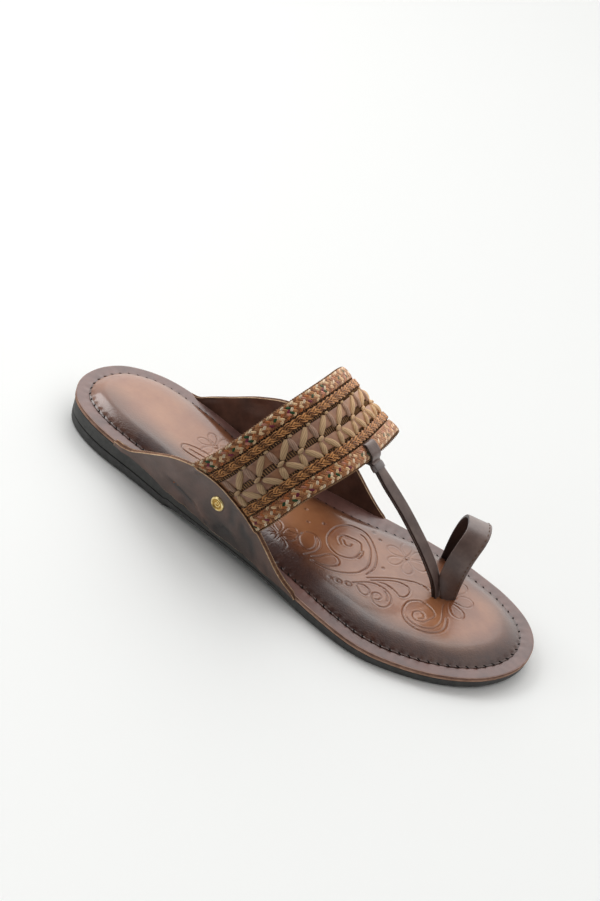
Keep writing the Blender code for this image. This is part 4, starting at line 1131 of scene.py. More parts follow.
def band_edges(place):
    """Distances of the band's rear and front edges from the heel, at places round the arch."""
    tuck = MEDIAL_TUCK * np.maximum(np.asarray(place) - TUCK_START, 0) ** 2
    return polynomial(BAND_REAR, place), polynomial(BAND_FRONT, place) - tuck


def wing_top(x, side):
    return curve(x, WING_TOPS, 1 if side < 0 else 2)


def wing_surface(x, side, height):
    """Points of the last's side wall at a height above the board's base."""
    t = height / BULGE_HEIGHT[side]
    y = side * (half_width(x, side) + foot_bulge(side) * (1 - (1 - t) ** 2))
    return np.column_stack([x, y, board_base(x) + height])


def wing_outward(x, side, height):
    step = 0.3
    along = wing_surface(x + step, side, height) - wing_surface(x - step, side, height)
    up = wing_surface(x, side, height + step) - wing_surface(x, side, height - step)
    return unit_rows(np.cross(along, up) * -side)


def band_cover(x, side, height):
    """1 where the hidden end of the band lies between a wing's leathers, 0 away from it."""
    place = side * (1 - height / HALF_BAND)
    rear, front = band_edges(place)
    across = (x - rear) / (front - rear) * BAND_WIDTH
    inside = ease(across, -1.5, 1.5) * (1 - ease(across, BAND_WIDTH - 1.5, BAND_WIDTH + 1.5))
    return inside * ease(height, (1 - BAND_END) * HALF_BAND - 1.5, (1 - BAND_END) * HALF_BAND + 1.5)


def fold_depth(x, side, height):
    """Sum of a wing's folds, deepest in the middle of each line and fading at its ends."""
    total = np.zeros_like(x)
    for x0, h0, x1, h1, depth, half in FOLDS[side]:
        run = np.array([x1 - x0, h1 - h0])
        length = np.linalg.norm(run)
        t = ((x - x0) * run[0] + (height - h0) * run[1]) / length ** 2
        off = ((x - x0) * run[1] - (height - h0) * run[0]) / length
        fade = ease(t, -0.25, 0.3) * (1 - ease(t, 0.7, 1.25))
        total += depth * fade * np.exp(-(off / half) ** 2)
    return total


def wing_leather_piece(side, top_rise, lift, swell, shrink, pale):
    """One leather of a wing, cut smaller by shrink, with its outer face top_rise above the last. The band's
    end moves it out by swell, and its upper edge there by lift.
    """
    mesh = new_mesh()
    bmesh.ops.create_grid(mesh, x_segments=WING_CELLS[0], y_segments=WING_CELLS[1], size=1, calc_uvs=True)
    flat = points_of(mesh)
    x = WING_START + shrink + (WING_END - WING_START - 2 * shrink) * (flat[:, 0] + 1) / 2
    height = (wing_top(x, side) - shrink) * (flat[:, 1] + 1) / 2
    place_points(mesh, np.column_stack([x, height, np.zeros_like(x)]))
    give_thickness(mesh, HIDE, 0.3, pale=pale)
    flat = points_of(mesh)
    x, height = flat[:, 0], flat[:, 1]
    cover = band_cover(x, side, height)
    under_edge = wing_top(x, side) - height
    mouth = np.exp(-(under_edge / 3.2) ** 2)
    pinched = 0.16 * np.sin(x / 1.9 + 2 * np.sin(x / 7)) * (1 - ease(height, 0.5, 5.0))
    slack = 0.42 * np.sin(x / 5.5 + height / 9.0) * np.sin(height / 6.5 + 1.0) * ease(under_edge, 0.5, 4.0)
    fold = fold_depth(x, side, height)
    # Painted light: shade in the folds, highlight on the ridges, and the table's painted shade and reflection
    wing_painted_light = 1.1 * fold + curve(x, WING_PAINTED_LIGHT) * (1 - 0.8 * ease(height, 9.0, 20.0))
    layer = mesh.verts.layers.float.new("burnish")
    for vert, share in zip(mesh.verts, wing_painted_light):
        vert[layer] = share
    rise = top_rise + flat[:, 2] + swell * cover + lift * cover * mouth - fold + (pinched + slack)
    place_points(mesh, wing_surface(x, side, height) + wing_outward(x, side, height) * rise[:, None])
    return mesh


for side, word in ((-1, "lateral"), (1, "medial")):
    outer = wing_leather_piece(side, WING_PROUD, lift=0.9, swell=0.3, shrink=0.0, pale=1)
    settle(f"{word}_wing_outer", outer, [wing_leather, cut_edge, pale_corner], ["upper"])
    lining = wing_leather_piece(side, WING_PROUD - HIDE - PASTE, lift=-0.1, swell=-0.35, shrink=0.15,
                                pale=-1)
    settle(f"{word}_wing_lining", lining, [lining_leather, cut_edge, pale_corner])

# %% [markdown]
# The instep band is a net of dark cord on a leather lining, and everything on it is worked in rows: flat
# braids along both edges, plaits of three strands beside them, smooth tape between ladder rows, and crosses
# of thick khaki cord over the middle. All rows are built flat in the band's own coordinates - along, across
# from the rear edge, and above the net - and one function lays them over the arch. Where a wing covers the
# band's end, everything is pressed down flat.

# %% Laying a flat piece over the arch
def over_band(flat):
    """Points of the arch for flat points: along from the top, across from the rear edge, rise."""
    place = np.clip(flat[:, 0] / HALF_BAND, -1, 1)
    rear, front = band_edges(place)
    x = rear + (front - rear) * flat[:, 1] / BAND_WIDTH
    spot = from_net(ARCH, x, place)
    over = spot[:, 2] - board_base(x) - np.where(place < 0, wing_top(x, -1), wing_top(x, 1))
    free = 0.12 + 0.88 * ease(over, -0.5, 3.5)
    held = 1 - ease(over, -5.0, -1.0)
    rise = np.where(flat[:, 2] > 0, flat[:, 2] * free, flat[:, 2] * (1 - 0.7 * held)) - 0.55 * held
    return spot + from_net(ARCH_OUTWARD, x, place) * (BAND_PROUD + rise)[:, None]


def settle_on_band(name, mesh, finishes):
    place_points(mesh, over_band(points_of(mesh)))
    settle(name, mesh, finishes)


BAND_LIMIT = BAND_END * HALF_BAND


def band_sheet(mesh, low, high, columns, rows, top, thick, soften=0.25, crown=0.0):
    """A strip from low to high across the band, its upper face at top, with softened edges."""
    piece = new_mesh()
    bmesh.ops.create_grid(piece, x_segments=columns, y_segments=rows, size=1, calc_uvs=True)
    flat = points_of(piece)
    across = (low + high) / 2 + (high - low) / 2 * flat[:, 1]
    place_points(piece, np.column_stack([flat[:, 0] * BAND_LIMIT, across, np.zeros(len(flat))]))
    give_thickness(piece, thick, soften)
    flat = points_of(piece)
    bow = 1 - ((flat[:, 1] - (low + high) / 2) / ((high - low) / 2)) ** 2
    flat[:, 2] += top + crown * bow
    place_points(piece, flat)
    gather(mesh, piece)


# The band's colour carries painted light: brightest on its medial shoulder, painted shade low on its sides.
PAINTED_LIGHT_AT = 0.028       # metres from the shoe's middle to the medial side, where the band is palest


def light_falloff(tree, colour, painted_highlight=0.0):
    """Painted light on the band: a highlight on its medial shoulder and shade low on its sides."""
    place = add(tree, "ShaderNodeTexCoord").outputs["Object"]
    side = add(tree, "ShaderNodeSeparateXYZ", {}, {0: place}).outputs["Y"]
    # Distance from the line of strongest painted light in metres, which counts 2.5 times on its medial side
    lateral = add(tree, "ShaderNodeMath", {"operation": "SUBTRACT", 0: PAINTED_LIGHT_AT}, {1: side}).outputs[0]
    medial = add(tree, "ShaderNodeMath", {"operation": "MULTIPLY", 1: -2.5}, {0: lateral}).outputs[0]
    away = add(tree, "ShaderNodeMath", {"operation": "MAXIMUM"}, {0: lateral, 1: medial}).outputs[0]
    # Painted shade: the colour is multiplied by 1.6 on that line, falling to 0.68 away from it
    share = add(tree, "ShaderNodeMapRange", {1: 0.0, 2: 0.073, 3: 1.6, 4: 0.68}, {0: away})
    deep = add(tree, "ShaderNodeMix", {"data_type": "RGBA", "blend_type": "MULTIPLY", 0: 1.0},
               {6: colour, 7: share.outputs[0]}).outputs[2]
    # Painted highlight: near that line the colour is mixed toward a pale cream
    pale = add(tree, "ShaderNodeMapRange", {1: 0.004, 2: 0.048, 3: painted_highlight, 4: 0.0}, {0: away}).outputs[0]
    mixed = add(tree, "ShaderNodeMix", {"data_type": "RGBA", 7: linear("#F2D2BA")}, {0: pale, 6: deep})
    return mixed.outputs[2]


NET_MESH = 1.0            # millimetres between the threads of the net


def cord_net():
    """The dark net under the rows: fine thread crossings, nearly black between them."""
    made, tree, shader = start_finish("dark_cord_net", {"Roughness": 0.8})
    flow = add(tree, "ShaderNodeUVMap", {"uv_map": "flow"}).outputs["UV"]
    cells = add(tree, "ShaderNodeMapping", {"Scale": (2 * BAND_LIMIT / NET_MESH, BAND_WIDTH / NET_MESH, 1.0)},
                {"Vector": flow})
    weave = add(tree, "ShaderNodeTexVoronoi", {"Scale": 1.0, "Randomness": 0.15},
                {"Vector": cells.outputs[0]})
    mix = add(tree, "ShaderNodeMix", {"data_type": "RGBA", 6: linear("#5E4230"), 7: linear("#24160E")},
              {0: weave.outputs["Distance"]})
    bump = add(tree, "ShaderNodeBump", {"Strength": 1.0, "Distance": 0.3 * MM, "invert": True},
               {"Height": weave.outputs["Distance"]})
    dress(tree, shader, mix.outputs[2], bump)
    return made


SHEET_MARGIN = 0.5        # the net and the lining end this far inside the band's two edges
mesh = new_mesh()
band_sheet(mesh, SHEET_MARGIN, BAND_WIDTH - SHEET_MARGIN, 240, 20, top=0.05, thick=0.8)
settle_on_band("band_net", mesh, [cord_net()])
mesh = new_mesh()
band_sheet(mesh, SHEET_MARGIN, BAND_WIDTH - SHEET_MARGIN, 200, 20, top=-0.75, thick=0.55)
settle_on_band("band_lining", mesh, [lining_leather, cut_edge])
tape_leather, tree, shader, mix, _ = leather("smooth_band_tape", "#84543A", "#A67450", grain_mm=0.6,
                                             depth_mm=0.05, blotch_mm=5.0)
tree.links.new(light_falloff(tree, mix.outputs[2], 0.3), shader.inputs["Base Color"])
mesh = new_mesh()
for low, high in ((14.2, 20.0), (23.1, 28.9)):
    band_sheet(mesh, low, high, 260, 6, top=0.85, thick=0.75, soften=0.3, crown=0.15)
settle_on_band("smooth_tapes", mesh, [tape_leather, tape_leather])

# %% [markdown]
# A flat braid is plain weave turned by 45 degrees: each row across it shows every second crossing, all
# leaning the same way, and the next row leans the other way, shifted by half a stitch. So each visible
# crossing can be one small grain of yarn, and the coloured figures come from a chart, as in a pattern book:
# one letter a stitch, one line a row, repeated along the braid.

# %% Flat braids
# Green, maroon, cream, white, tan, rose, orange, brown and dark brown yarn
YARN = {"g": "#2C5230", "m": "#8A3648", "c": "#F6CEA0", "w": "#FFE4C2", "t": "#CE9060", "r": "#DC947A",
        "o": "#C47442", "b": "#A46A44", "k": "#8A5838"}
# A braid's edges across the band, the length of one repeat of its chart and the place where one begins
REAR_BRAID = {"low": 0.6, "high": 7.2, "repeat": 21.47, "first": -71.5, "chart": (
    "cwbtwbcwbtwb", "bctbrobtbctg", "wobcwbtgcobm", "tbcbtmbtcbrg", "cbobtbkbcbob")}
FRONT_BRAID = {"low": 35.6, "high": 42.6, "repeat": 25.6, "first": -67.4, "chart": (
    "cbobtbobcbkbob", "bctbrobtcbrotb", "wobtgwbcmtobct", "btbocbgtbtcmbt", "cwbtwbcwbtwbtb")}


COTTON = {"Roughness": 0.7, "Sheen Weight": 0.08, "IOR": 1.5, "Specular IOR Level": 0.15}


def cotton_yarn():
    """Mercerised cotton yarn: a soft sheen, fine plies along each stitch, its colour from the chart."""
    made, tree, shader = start_finish("braid_cotton", COTTON)
    tint = add(tree, "ShaderNodeAttribute", {"attribute_name": "tint"})
    flow = add(tree, "ShaderNodeUVMap", {"uv_map": "flow"}).outputs["UV"]
    plies = add(tree, "ShaderNodeTexWave", {"Scale": 1.6, "Distortion": 0.6, "bands_direction": "X"},
                {"Vector": flow})
    shade = add(tree, "ShaderNodeMapRange", {3: 0.62, 4: 1.1}, {0: plies.outputs["Fac"]})
    mix = add(tree, "ShaderNodeMix", {"data_type": "RGBA", "blend_type": "MULTIPLY", 0: 1.0},
              {6: tint.outputs["Color"], 7: shade.outputs[0]})
    bump = add(tree, "ShaderNodeBump", {"Strength": 0.7, "Distance": 0.15 * MM},
               {"Height": plies.outputs["Fac"]})
    dress(tree, shader, light_falloff(tree, mix.outputs[2], 0.38), bump)
    return made


braid_cotton = cotton_yarn()
YARN_LEAN, EDGE_LEAN = 42.0, 20.0      # degrees between a stitch and the braid, inside and on its edges
BRAID_TOP, STITCH_HIGH = 1.25, 0.45    # height of a braid's middle over the net, half thickness of a stitch


def braid_rise(across, low, high):
    """Height of a braid's surface: full in the middle, rounded off at both edges."""
    t = abs(across - (low + high) / 2) / ((high - low) / 2)
    return BRAID_TOP * (1 - 0.45 * t ** 4)


def flat_braid(name, low, high, repeat, first, chart):
    """A braid from low to high across the band; its chart begins at first and is repeat long."""
    rows, period = len(chart), len(chart[0])
    pitch, gauge = repeat / period, (high - low) / rows
    origins, axes, tints = [], [], []
    for row, line in enumerate(chart):
        lean = math.radians(EDGE_LEAN if row in (0, rows - 1) else YARN_LEAN) * (1 if row % 2 else -1)
        across = low + gauge * (row + 0.5)
        start = math.ceil((-BAND_LIMIT - first) / pitch)
        for k in range(start, start + int(2 * BAND_LIMIT / pitch)):
            along = first + pitch * (k + 0.5 * (row % 2))
            wobble = 0.08 * math.sin(k * 2.3 + row * 1.7)
            c, s = math.cos(lean + wobble), math.sin(lean + wobble)
            long, wide = gauge * 1.1, gauge * 0.6
            origins.append((along, across, braid_rise(across, low, high)))
            axes.append([(c * long, s * long, 0.0), (-s * wide, c * wide, 0.0), (0.0, 0.0, STITCH_HIGH)])
            colour = np.array(linear(YARN[line[k % period]]))
            tints.append(colour * (0.9 + 0.14 * math.sin(k * 3.1 + row * 5.3)))
    mesh = new_mesh()
    scatter(mesh, grain_unit(), origins, np.array(axes), tints)
    layer = mesh.verts.layers.float_color["tint"]
    stitched = len(mesh.verts)
    bed = new_mesh()
    band_sheet(bed, low + 0.15, high - 0.15, 200, 6, top=0.85, thick=0.8, soften=0.3)
    gather(mesh, bed)
    for vert in list(mesh.verts)[stitched:]:
        vert[layer] = linear(YARN["k"])
    settle_on_band(name, mesh, [braid_cotton, braid_cotton])
    print(f"{name}: {len(origins)} stitches, {pitch:.2f} mm apart")


flat_braid("rear_flat_braid", **REAR_BRAID)
flat_braid("front_flat_braid", **FRONT_BRAID)

# %% [markdown]
# The plaits beside the flat braids are true three-strand plaits, each strand a pair of cords. The middle of
# a strand swings across as a sine and dips at twice that rate, a third of a turn behind its neighbour, so
# the strands pass over and under each other. Ladder rows are short bars, and the band's two edges are
# whipped with brown thread; both are grains again.

# %% Plaits, ladders and whipped edges
PLAIT_REPEAT, PLAIT_HEIGHT, PLAIT_DIP = 9.6, 1.05, 0.5
CORD_SHARE = 0.115        # radius of a cord as a share of the plait's width
PLAITS = [("rear_plait", 10.4, 4.6), ("front_plait", 32.4, 4.8)]      # middle across the band, and width
LADDERS = [(7.1, 8.2), (12.6, 14.1), (20.1, 23.2), (28.8, 30.2), (34.7, 35.6)]
BAR_PITCH = 1.3


def plied(name, dark, light, strands, twist, depth=0.9, painted_highlight=0.0):
    """A cord of several plies that run along it, from its UV: strands of them, turned by twist a length."""
    made, tree, shader = start_finish(name, {**COTTON, "Roughness": 0.75})
    flow = add(tree, "ShaderNodeUVMap", {"uv_map": "flow"}).outputs["UV"]
    lay = add(tree, "ShaderNodeMapping", {"Scale": (twist, strands, 1.0)}, {"Vector": flow})
    plies = add(tree, "ShaderNodeTexWave", {"Scale": 0.314, "Distortion": 0.8, "bands_direction": "DIAGONAL",
                                            "Detail": 1.0}, {"Vector": lay.outputs[0]})
    place = add(tree, "ShaderNodeTexCoord").outputs["Object"]
    fuzz = add(tree, "ShaderNodeTexNoise", {"Scale": 900.0, "Detail": 4.0}, {"Vector": place})
    both = add(tree, "ShaderNodeMix", {"data_type": "FLOAT", 0: 0.4},
               {2: plies.outputs["Fac"], 3: fuzz.outputs["Fac"]})
    tone = add(tree, "ShaderNodeMapRange", {1: 0.2, 2: 0.75}, {0: both.outputs[0]})
    mix = add(tree, "ShaderNodeMix", {"data_type": "RGBA", 6: linear(dark), 7: linear(light)},
              {0: tone.outputs[0]})
    bump = add(tree, "ShaderNodeBump", {"Strength": depth, "Distance": 0.2 * MM}, {"Height": both.outputs[0]})
    dress(tree, shader, light_falloff(tree, mix.outputs[2], painted_highlight), bump)
    return made


plait_cord = plied("plaited_brown_cord", "#4C2C1A", "#D2945C", strands=4.0, twist=60.0, painted_highlight=0.35)


def plait(name, middle, width):
    """A plait round the line at middle across the band: three strands of two cords each."""
    radius = width * CORD_SHARE
    swing = width / 2 - 2 * radius
    mesh = new_mesh()
    for strand, beside in [(k, side * radius) for k in range(3) for side in (-1, 1)]:
        def strand_shape(u, angle):
            along = (2 * u - 1) * BAND_LIMIT
            phase = 2 * np.pi * (along / PLAIT_REPEAT + strand / 3)
            lean = np.cos(phase) * 0.5
            aside = beside + radius * np.cos(angle)
            wobble = 0.12 * np.sin(along / 2.3 + strand * 2 + beside)
            return np.column_stack([along - aside * lean, middle + swing * np.sin(phase) + aside + wobble,
                                    PLAIT_HEIGHT + PLAIT_DIP * np.sin(2 * phase) + radius * np.sin(angle)])
        add_tube(mesh, 380, 8, strand_shape)
    settle_on_band(name, mesh, [plait_cord])


for row in PLAITS:
    plait(*row)


def grain_rows(name, finish, unit, rows):
    """Rows of grains, BAR_PITCH apart along the band: each has its place across, its height and its axes."""
    places = [-BAND_LIMIT + BAR_PITCH * (k + 0.5) for k in range(int(2 * BAND_LIMIT / BAR_PITCH))]
    origins = [(along, across, rise) for across, rise, _ in rows for along in places]
    mesh = new_mesh()
    scatter(mesh, unit, origins, np.array([axes for _, _, axes in rows for _ in places]))
    settle_on_band(name, mesh, [finish])


bars = [((low + high) / 2, 0.25, [(0.0, (high - low) * 0.52, 0.0), (-0.24, 0.0, 0.0), (0.0, 0.0, 0.3)])
        for low, high in LADDERS]
whips = [(across, rise, [(0.5, 0.45, 0.2), (-0.34, 0.26, 0.0), (0.0, -0.15, 0.6)])
         for across, rise in ((0.35, 0.35), (BAND_WIDTH - 0.3, 0.3))]
grain_rows("ladder_bars", thread("ladder_thread", "#BC9062"), grain_unit(6, 4), bars)
grain_rows("whipped_edges", thread("edge_whipping", "#A07A58"), grain_unit(), whips)

# %% [markdown]
# The crosses down the middle are the band's main ornament: four fat leaves of khaki cord tied at a node, two
# toward the rear edge and two toward the front. The one straight across is painted greyer and darker, as
# painted shade. A leaf is a plump tube, blunt at both ends and fullest in the middle, and the finish draws
# its plies along it. Small knots of the same cord cover the node and the tips of the two long leaves.

# %% Cord crosses
# Leaves of a cross: start and end from its node, along and across the band, and width
CROSS_LEAVES = [(1.7, -1.2, 9.4, -8.3, 3.0), (-0.6, -1.2, -0.6, -8.3, 2.9),
                (1.9, 1.2, 7.6, 7.8, 3.2), (-0.8, 1.2, -2.4, 7.5, 3.0)]
SHADED_LEAF = 1           # the straight leaf is painted greyer and darker, as painted shade
# Places of the nodes round the arch, uneven as hand work is
CROSSES = [-0.697, -0.583, -0.464, -0.363, -0.247, -0.127, -0.010, 0.109, 0.228, 0.347, 0.466, 0.585, 0.702]
CROSS_NODE = 22.6         # place of the nodes across the band
# Knots of a cross, at its node and at the two far ends: place from the node and height, axes of the grain
KNOTS = [(0.1, 0.0, 1.45, [(1.9, -0.5, 0.0), (0.2, 0.95, 0.0), (0.0, 0.0, 0.95)]),
         (11.5, -8.7, 1.0, [(1.2, 0.1, 0.0), (-0.1, 0.75, 0.0), (0.0, 0.0, 0.7)]),
         (8.9, 8.9, 1.0, [(1.3, -0.1, 0.0), (0.1, 0.65, 0.0), (0.0, 0.0, 0.7)])]

khaki_cord = plied("khaki_cord", "#AE8E6A", "#CBA983", strands=18.0, twist=4.0, depth=0.4)
# The second cord is the khaki cord painted darker and greyer, as painted shade.
shaded_leaf_cord = plied("khaki_cord_painted_shade", "#927262", "#B0907A", strands=18.0, twist=4.0, depth=0.4)


def leaf_shape(node, row, seed):
    """Shape of one leaf, flat below and domed above, bent a little to one side by its seed."""
    s0, a0, s1, a1, width = row
    length = math.hypot(s1 - s0, a1 - a0)
    ahead = ((s1 - s0) / length, (a1 - a0) / length)

    def shape(u, angle):
        full = np.sin(np.pi * (0.02 + 0.96 * u)) ** 0.15 * (1 - 0.12 * (2 * u - 1) ** 2)
        furrow = 1 - 0.02 * np.cos(9 * angle)
        aside = width / 2 * full * np.cos(angle) * furrow
        arched = np.maximum(np.sign(np.sin(angle)) * np.abs(np.sin(angle)) ** 0.8, -0.3)
        lift = 0.5 + 0.45 * np.sin(np.pi * u) + 1.25 * full * arched * furrow
        bent = 0.25 * np.sin(np.pi * u) * math.sin(seed * 2.7)
        along = node + s0 + (s1 - s0) * u - ahead[1] * aside
        return np.column_stack([along, CROSS_NODE + a0 + (a1 - a0) * u + ahead[0] * aside + bent, lift])
    return shape


mesh = new_mesh()
for k, place in enumerate(CROSSES):
    node = place * HALF_BAND
    for n, row in enumerate(CROSS_LEAVES):
        tone = 1 if n == SHADED_LEAF else 0
        add_tube(mesh, 16, 36, leaf_shape(node, row, k * 4 + n), lambda u, angle: np.full(len(u), tone))
origins = [(place * HALF_BAND + ahead, CROSS_NODE + across, rise) for place in CROSSES
           for ahead, across, rise, _ in KNOTS]
scatter(mesh, grain_unit(12, 8), origins, np.array([axes for _ in CROSSES for *_, axes in KNOTS]))
settle_on_band("khaki_cord_crosses", mesh, [khaki_cord, shaded_leaf_cord])

# %% [markdown]
# The toe strap is one strip of edge-dyed leather. It is passed round the front braid through a slot in the
# band, folded back on itself and held by a small sleeve, and both layers run down together to the post
# between the toes. So its middle line is one path that comes back to where it began, and the strip is a tube
# with the section of a soft-cornered bar. The toe loop is a wider bar bent to an arch, with a row of tan
# stitches along one edge.

# %% Toe strap, sleeve and toe loop
STRAP_SLOT_Y, STRAP_SLANT = 5.2, 0.03
STRAP_WIDTH, STRAP_TOP_WIDTH = 5.8, 8.2
LAYER, LAYERS_APART = 1.2, 0.06       # thickness of a layer, and its distance from the strap's middle
STRAP_TWIST = 14.0        # degrees that the strap turns its face to the lateral side
# Middle of the strap from the post up: distance from the heel, height
STRAP_LINE = [
    (212.0, 7.3), (211.8, 10.6), (208.2, 18.6), (203.3, 24.8), (196.7, 31.4), (191.2, 36.3), (181.0, 44.6),
    (170.0, 52.3),
]
# Middle of the strip round the braid: along the band past its front edge, above the band's surface
STRAP_TURN = [(1.75, 0.55), (0.9, 1.6), (-1.3, 2.95), (-4.0, 3.1), (-6.6, 2.95), (-7.55, 1.9), (-7.6, 0.3),
              (-7.55, -1.5), (-6.6, -2.3), (-3.5, -2.35), (0.2, -2.3), (1.75, -0.9)]


def strap_y(x):
    return STRAP_SLOT_Y + STRAP_SLANT * (x - BAND_FRONT[0])


def smooth_path(knots, count):
    """Points evenly along a smooth curve through knots in space, their directions and their distances."""
    knots = np.array(knots, float)
    run = run_along(knots)
    goal = np.linspace(0, run[-1], count)
    points = np.column_stack([curve(goal, list(zip(run, knots[:, axis]))) for axis in range(3)])
    return points, unit_rows(np.gradient(points, axis=0)), goal


def read_rows(at, run, rows):
    """Points or directions of a table, read at places along its run."""
    return np.column_stack([np.interp(at, run, rows[:, axis]) for axis in range(3)])


def square_to(ahead, wide_way):
    """Directions turned square to a path."""
    return unit_rows(wide_way - ahead * np.sum(wide_way * ahead, axis=1)[:, None])


def upward(way):
    """Directions square to a path on its upper side, in the plane along the shoe."""
    out = np.column_stack([-way[:, 2], np.zeros(len(way)), way[:, 0]])
    return out * np.sign(out[:, 2:3] + 1e-9)


def bar_section(angle, wide, thick, square=0.28):
    """A bar's outline with soft corners: its half sizes times these, for an angle round it."""
    c, s = np.cos(angle), np.sin(angle)
    return wide * np.sign(c) * np.abs(c) ** square, thick * np.sign(s) * np.abs(s) ** square


NARROW_SIDE = 0.975       # cosine round a bar's section beyond which its narrow sides lie


def bar_tube(mesh, points, ahead, wide_way, widths, thick, sides, shaded_inside=False):
    """A bar along a path; wide_way points across its width. Its narrow sides get material 1, the dyed edge,
    and where the last flag is set so does the side that faces into the bend, as painted shade.
    """
    wide_way = square_to(ahead, wide_way)
    out = np.cross(ahead, wide_way)
    knots = np.linspace(0, 1, len(points))

    def shape(u, angle):
        wide, deep = bar_section(angle, np.interp(u, knots, widths) / 2, thick / 2)
        spot, aside, up = [read_rows(u, knots, rows) for rows in (points, wide_way, out)]
        return spot + aside * wide[:, None] + up * deep[:, None]

    add_tube(mesh, len(points) - 1, sides, shape,
             lambda u, angle: (np.abs(np.cos(angle)) > NARROW_SIDE) | (shaded_inside & (np.sin(angle) > 0)))


edge_place = float(polynomial(BAND_FRONT, 0.0))
edge_spot = from_net(ARCH, np.array([edge_place]), np.array([0.0]))[0]
back_spot = from_net(ARCH, np.array([edge_place - 7.0]), np.array([0.0]))[0]
band_way = (edge_spot - back_spot) / np.linalg.norm(edge_spot - back_spot)
band_up = np.array([-band_way[2], 0.0, band_way[0]])


def by_band(along, rise):
    spot = edge_spot + band_way * along + band_up * rise
    return np.array([spot[0], strap_y(spot[0]), spot[2]])


middle = [by_band(2.3, 0.0)] + [np.array([x, strap_y(x), z]) for x, z in reversed(STRAP_LINE)]
down, down_way, down_run = smooth_path(middle, 90)
down_out = upward(down_way)
upper_side = down + down_out * (LAYER / 2 + LAYERS_APART)
lower_side = down - down_out * (LAYER / 2 + LAYERS_APART)
turn_knots = [by_band(*row) for row in STRAP_TURN]
turn_line = smooth_path([upper_side[2]] + turn_knots + [lower_side[2]], 90)[0]
strip = np.concatenate([upper_side[::-1][:-3], turn_line, lower_side[3:]])
strip, strip_way, _ = smooth_path(strip[::2], 300)
from_turn = np.linalg.norm(strip - by_band(-3.0, 0.0), axis=1)
widths = STRAP_WIDTH + (STRAP_TOP_WIDTH - STRAP_WIDTH) * (1 - ease(from_turn, 3.0, 9.0))
twist = np.radians(STRAP_TWIST) * ease(from_turn, 7, 20) * (1 - ease(strip[:, 0], 203, 212))
strip_wide = np.outer(np.cos(twist), (0.0, 1.0, 0.0)) + upward(strip_way) * np.sin(twist)[:, None]
mesh = new_mesh()
bar_tube(mesh, strip, strip_way, strip_wide, widths, LAYER, 24)
# The dyed narrow sides of strap and loop; on the loop it also covers the inner face as painted shade.
edge_dye_and_shade = leather("dyed_edge_and_loop_shade", "#251A18", "#3A2B28", grain_mm=0.4, roughness=0.5)[0]
settle("folded_toe_strap", mesh, [strap_leather, edge_dye_and_shade], ["toe_strap"])

sleeve_leather = leather("polished_sleeve_leather", "#4A3E3C", "#736663", grain_mm=0.6, roughness=0.25,
                         coat=0.9)[0]
KEEPER_START, KEEPER_LENGTH, KEEPER_WALL = 0.6, 4.4, 0.5
KEEPER_ROOM = (0.4, 0.2)          # room in the sleeve beside the strap and over it
inside = (down_run > KEEPER_START) & (down_run < KEEPER_START + KEEPER_LENGTH)
sleeve, sleeve_out = down[inside], down_out[inside]
mesh = new_mesh()
for grow in (KEEPER_WALL, 0.0):
    wide, thick = STRAP_WIDTH / 2 + KEEPER_ROOM[0] + grow, LAYER + KEEPER_ROOM[1] + grow
    piece = new_mesh()
    bmesh.ops.create_grid(piece, x_segments=12, y_segments=28, size=1, calc_uvs=True)
    flat = points_of(piece)
    u, angle = (flat[:, 0] + 1) / 2, flat[:, 1] * np.pi
    knots = np.linspace(0, 1, len(sleeve))
    spot, out = read_rows(u, knots, sleeve), read_rows(u, knots, sleeve_out)
    w, t = bar_section(angle, wide, thick, 0.5)
    bulge = 1 + 0.05 * np.sin(np.pi * u)
    spot += np.outer(w * bulge, (0, 1, 0)) + out * (t * bulge)[:, None]
    place_points(piece, spot)
    close_seam(piece)
    gather(mesh, piece)
bmesh.ops.bridge_loops(mesh, edges=border(mesh))
settle("strap_sleeve", mesh, [sleeve_leather], ["strap_keeper"])

LOOP_NEAR, LOOP_FAR = (217.2, 9.4), (203.4, 41.2)
LOOP_WIDTH, LOOP_FOOT_WIDTH, LOOP_THICK = 11.8, 7.2, 1.9
LOOP_TOP, LOOP_LEAN, LOOP_SQUARENESS = 45.0, 3.2, 0.8
LOOP_BOW = 2.7            # how far the near leg bows back toward the heel
LOOP_TURNS = (46.0, 12.0)         # degrees between its width and the shoe's length, at the near foot and on


def loop_middle(t):
    """Middle of the toe loop, t 0 at the near foot to 1 at the far foot: a squared half circle."""
    near = np.array([*LOOP_NEAR, float(board_top(LOOP_NEAR[0])) + GAP])
    far = np.array([*LOOP_FAR, float(board_top(LOOP_FAR[0])) + GAP])
    swing = np.sign(0.5 - t) * np.abs(np.cos(np.pi * t)) ** LOOP_SQUARENESS
    rise = np.sin(np.pi * np.clip(t, 0, 1)) ** LOOP_SQUARENESS
    middle = near + (far - near) * ((1 - swing) / 2)[:, None]
    middle[:, 0] += LOOP_LEAN * rise ** 3 - LOOP_BOW * ease(t, 0, 0.11) * (1 - ease(t, 0.12, 0.5))
    middle[:, 2] += (LOOP_TOP - middle[:, 2]) * rise
    return middle


loop_t = np.linspace(0, 1, 121)
loop = loop_middle(loop_t)
loop_way = unit_rows(np.gradient(loop, axis=0))
turned = np.radians(LOOP_TURNS[1] + (LOOP_TURNS[0] - LOOP_TURNS[1]) * (1 - ease(loop_t, 0, 0.1)))
wide_way = np.column_stack([np.cos(turned), np.sin(turned), np.zeros_like(turned)])
loop_wide = LOOP_FOOT_WIDTH + (LOOP_WIDTH - LOOP_FOOT_WIDTH) * ease(loop_t, 0, 0.11)
mesh = new_mesh()
# The loop's inner face gets the dark edge finish: painted shade inside the arch.
bar_tube(mesh, loop, loop_way, wide_way, loop_wide, LOOP_THICK, 36, shaded_inside=True)
settle("stitched_toe_loop", mesh, [strap_leather, edge_dye_and_shade], ["toe_loop"])

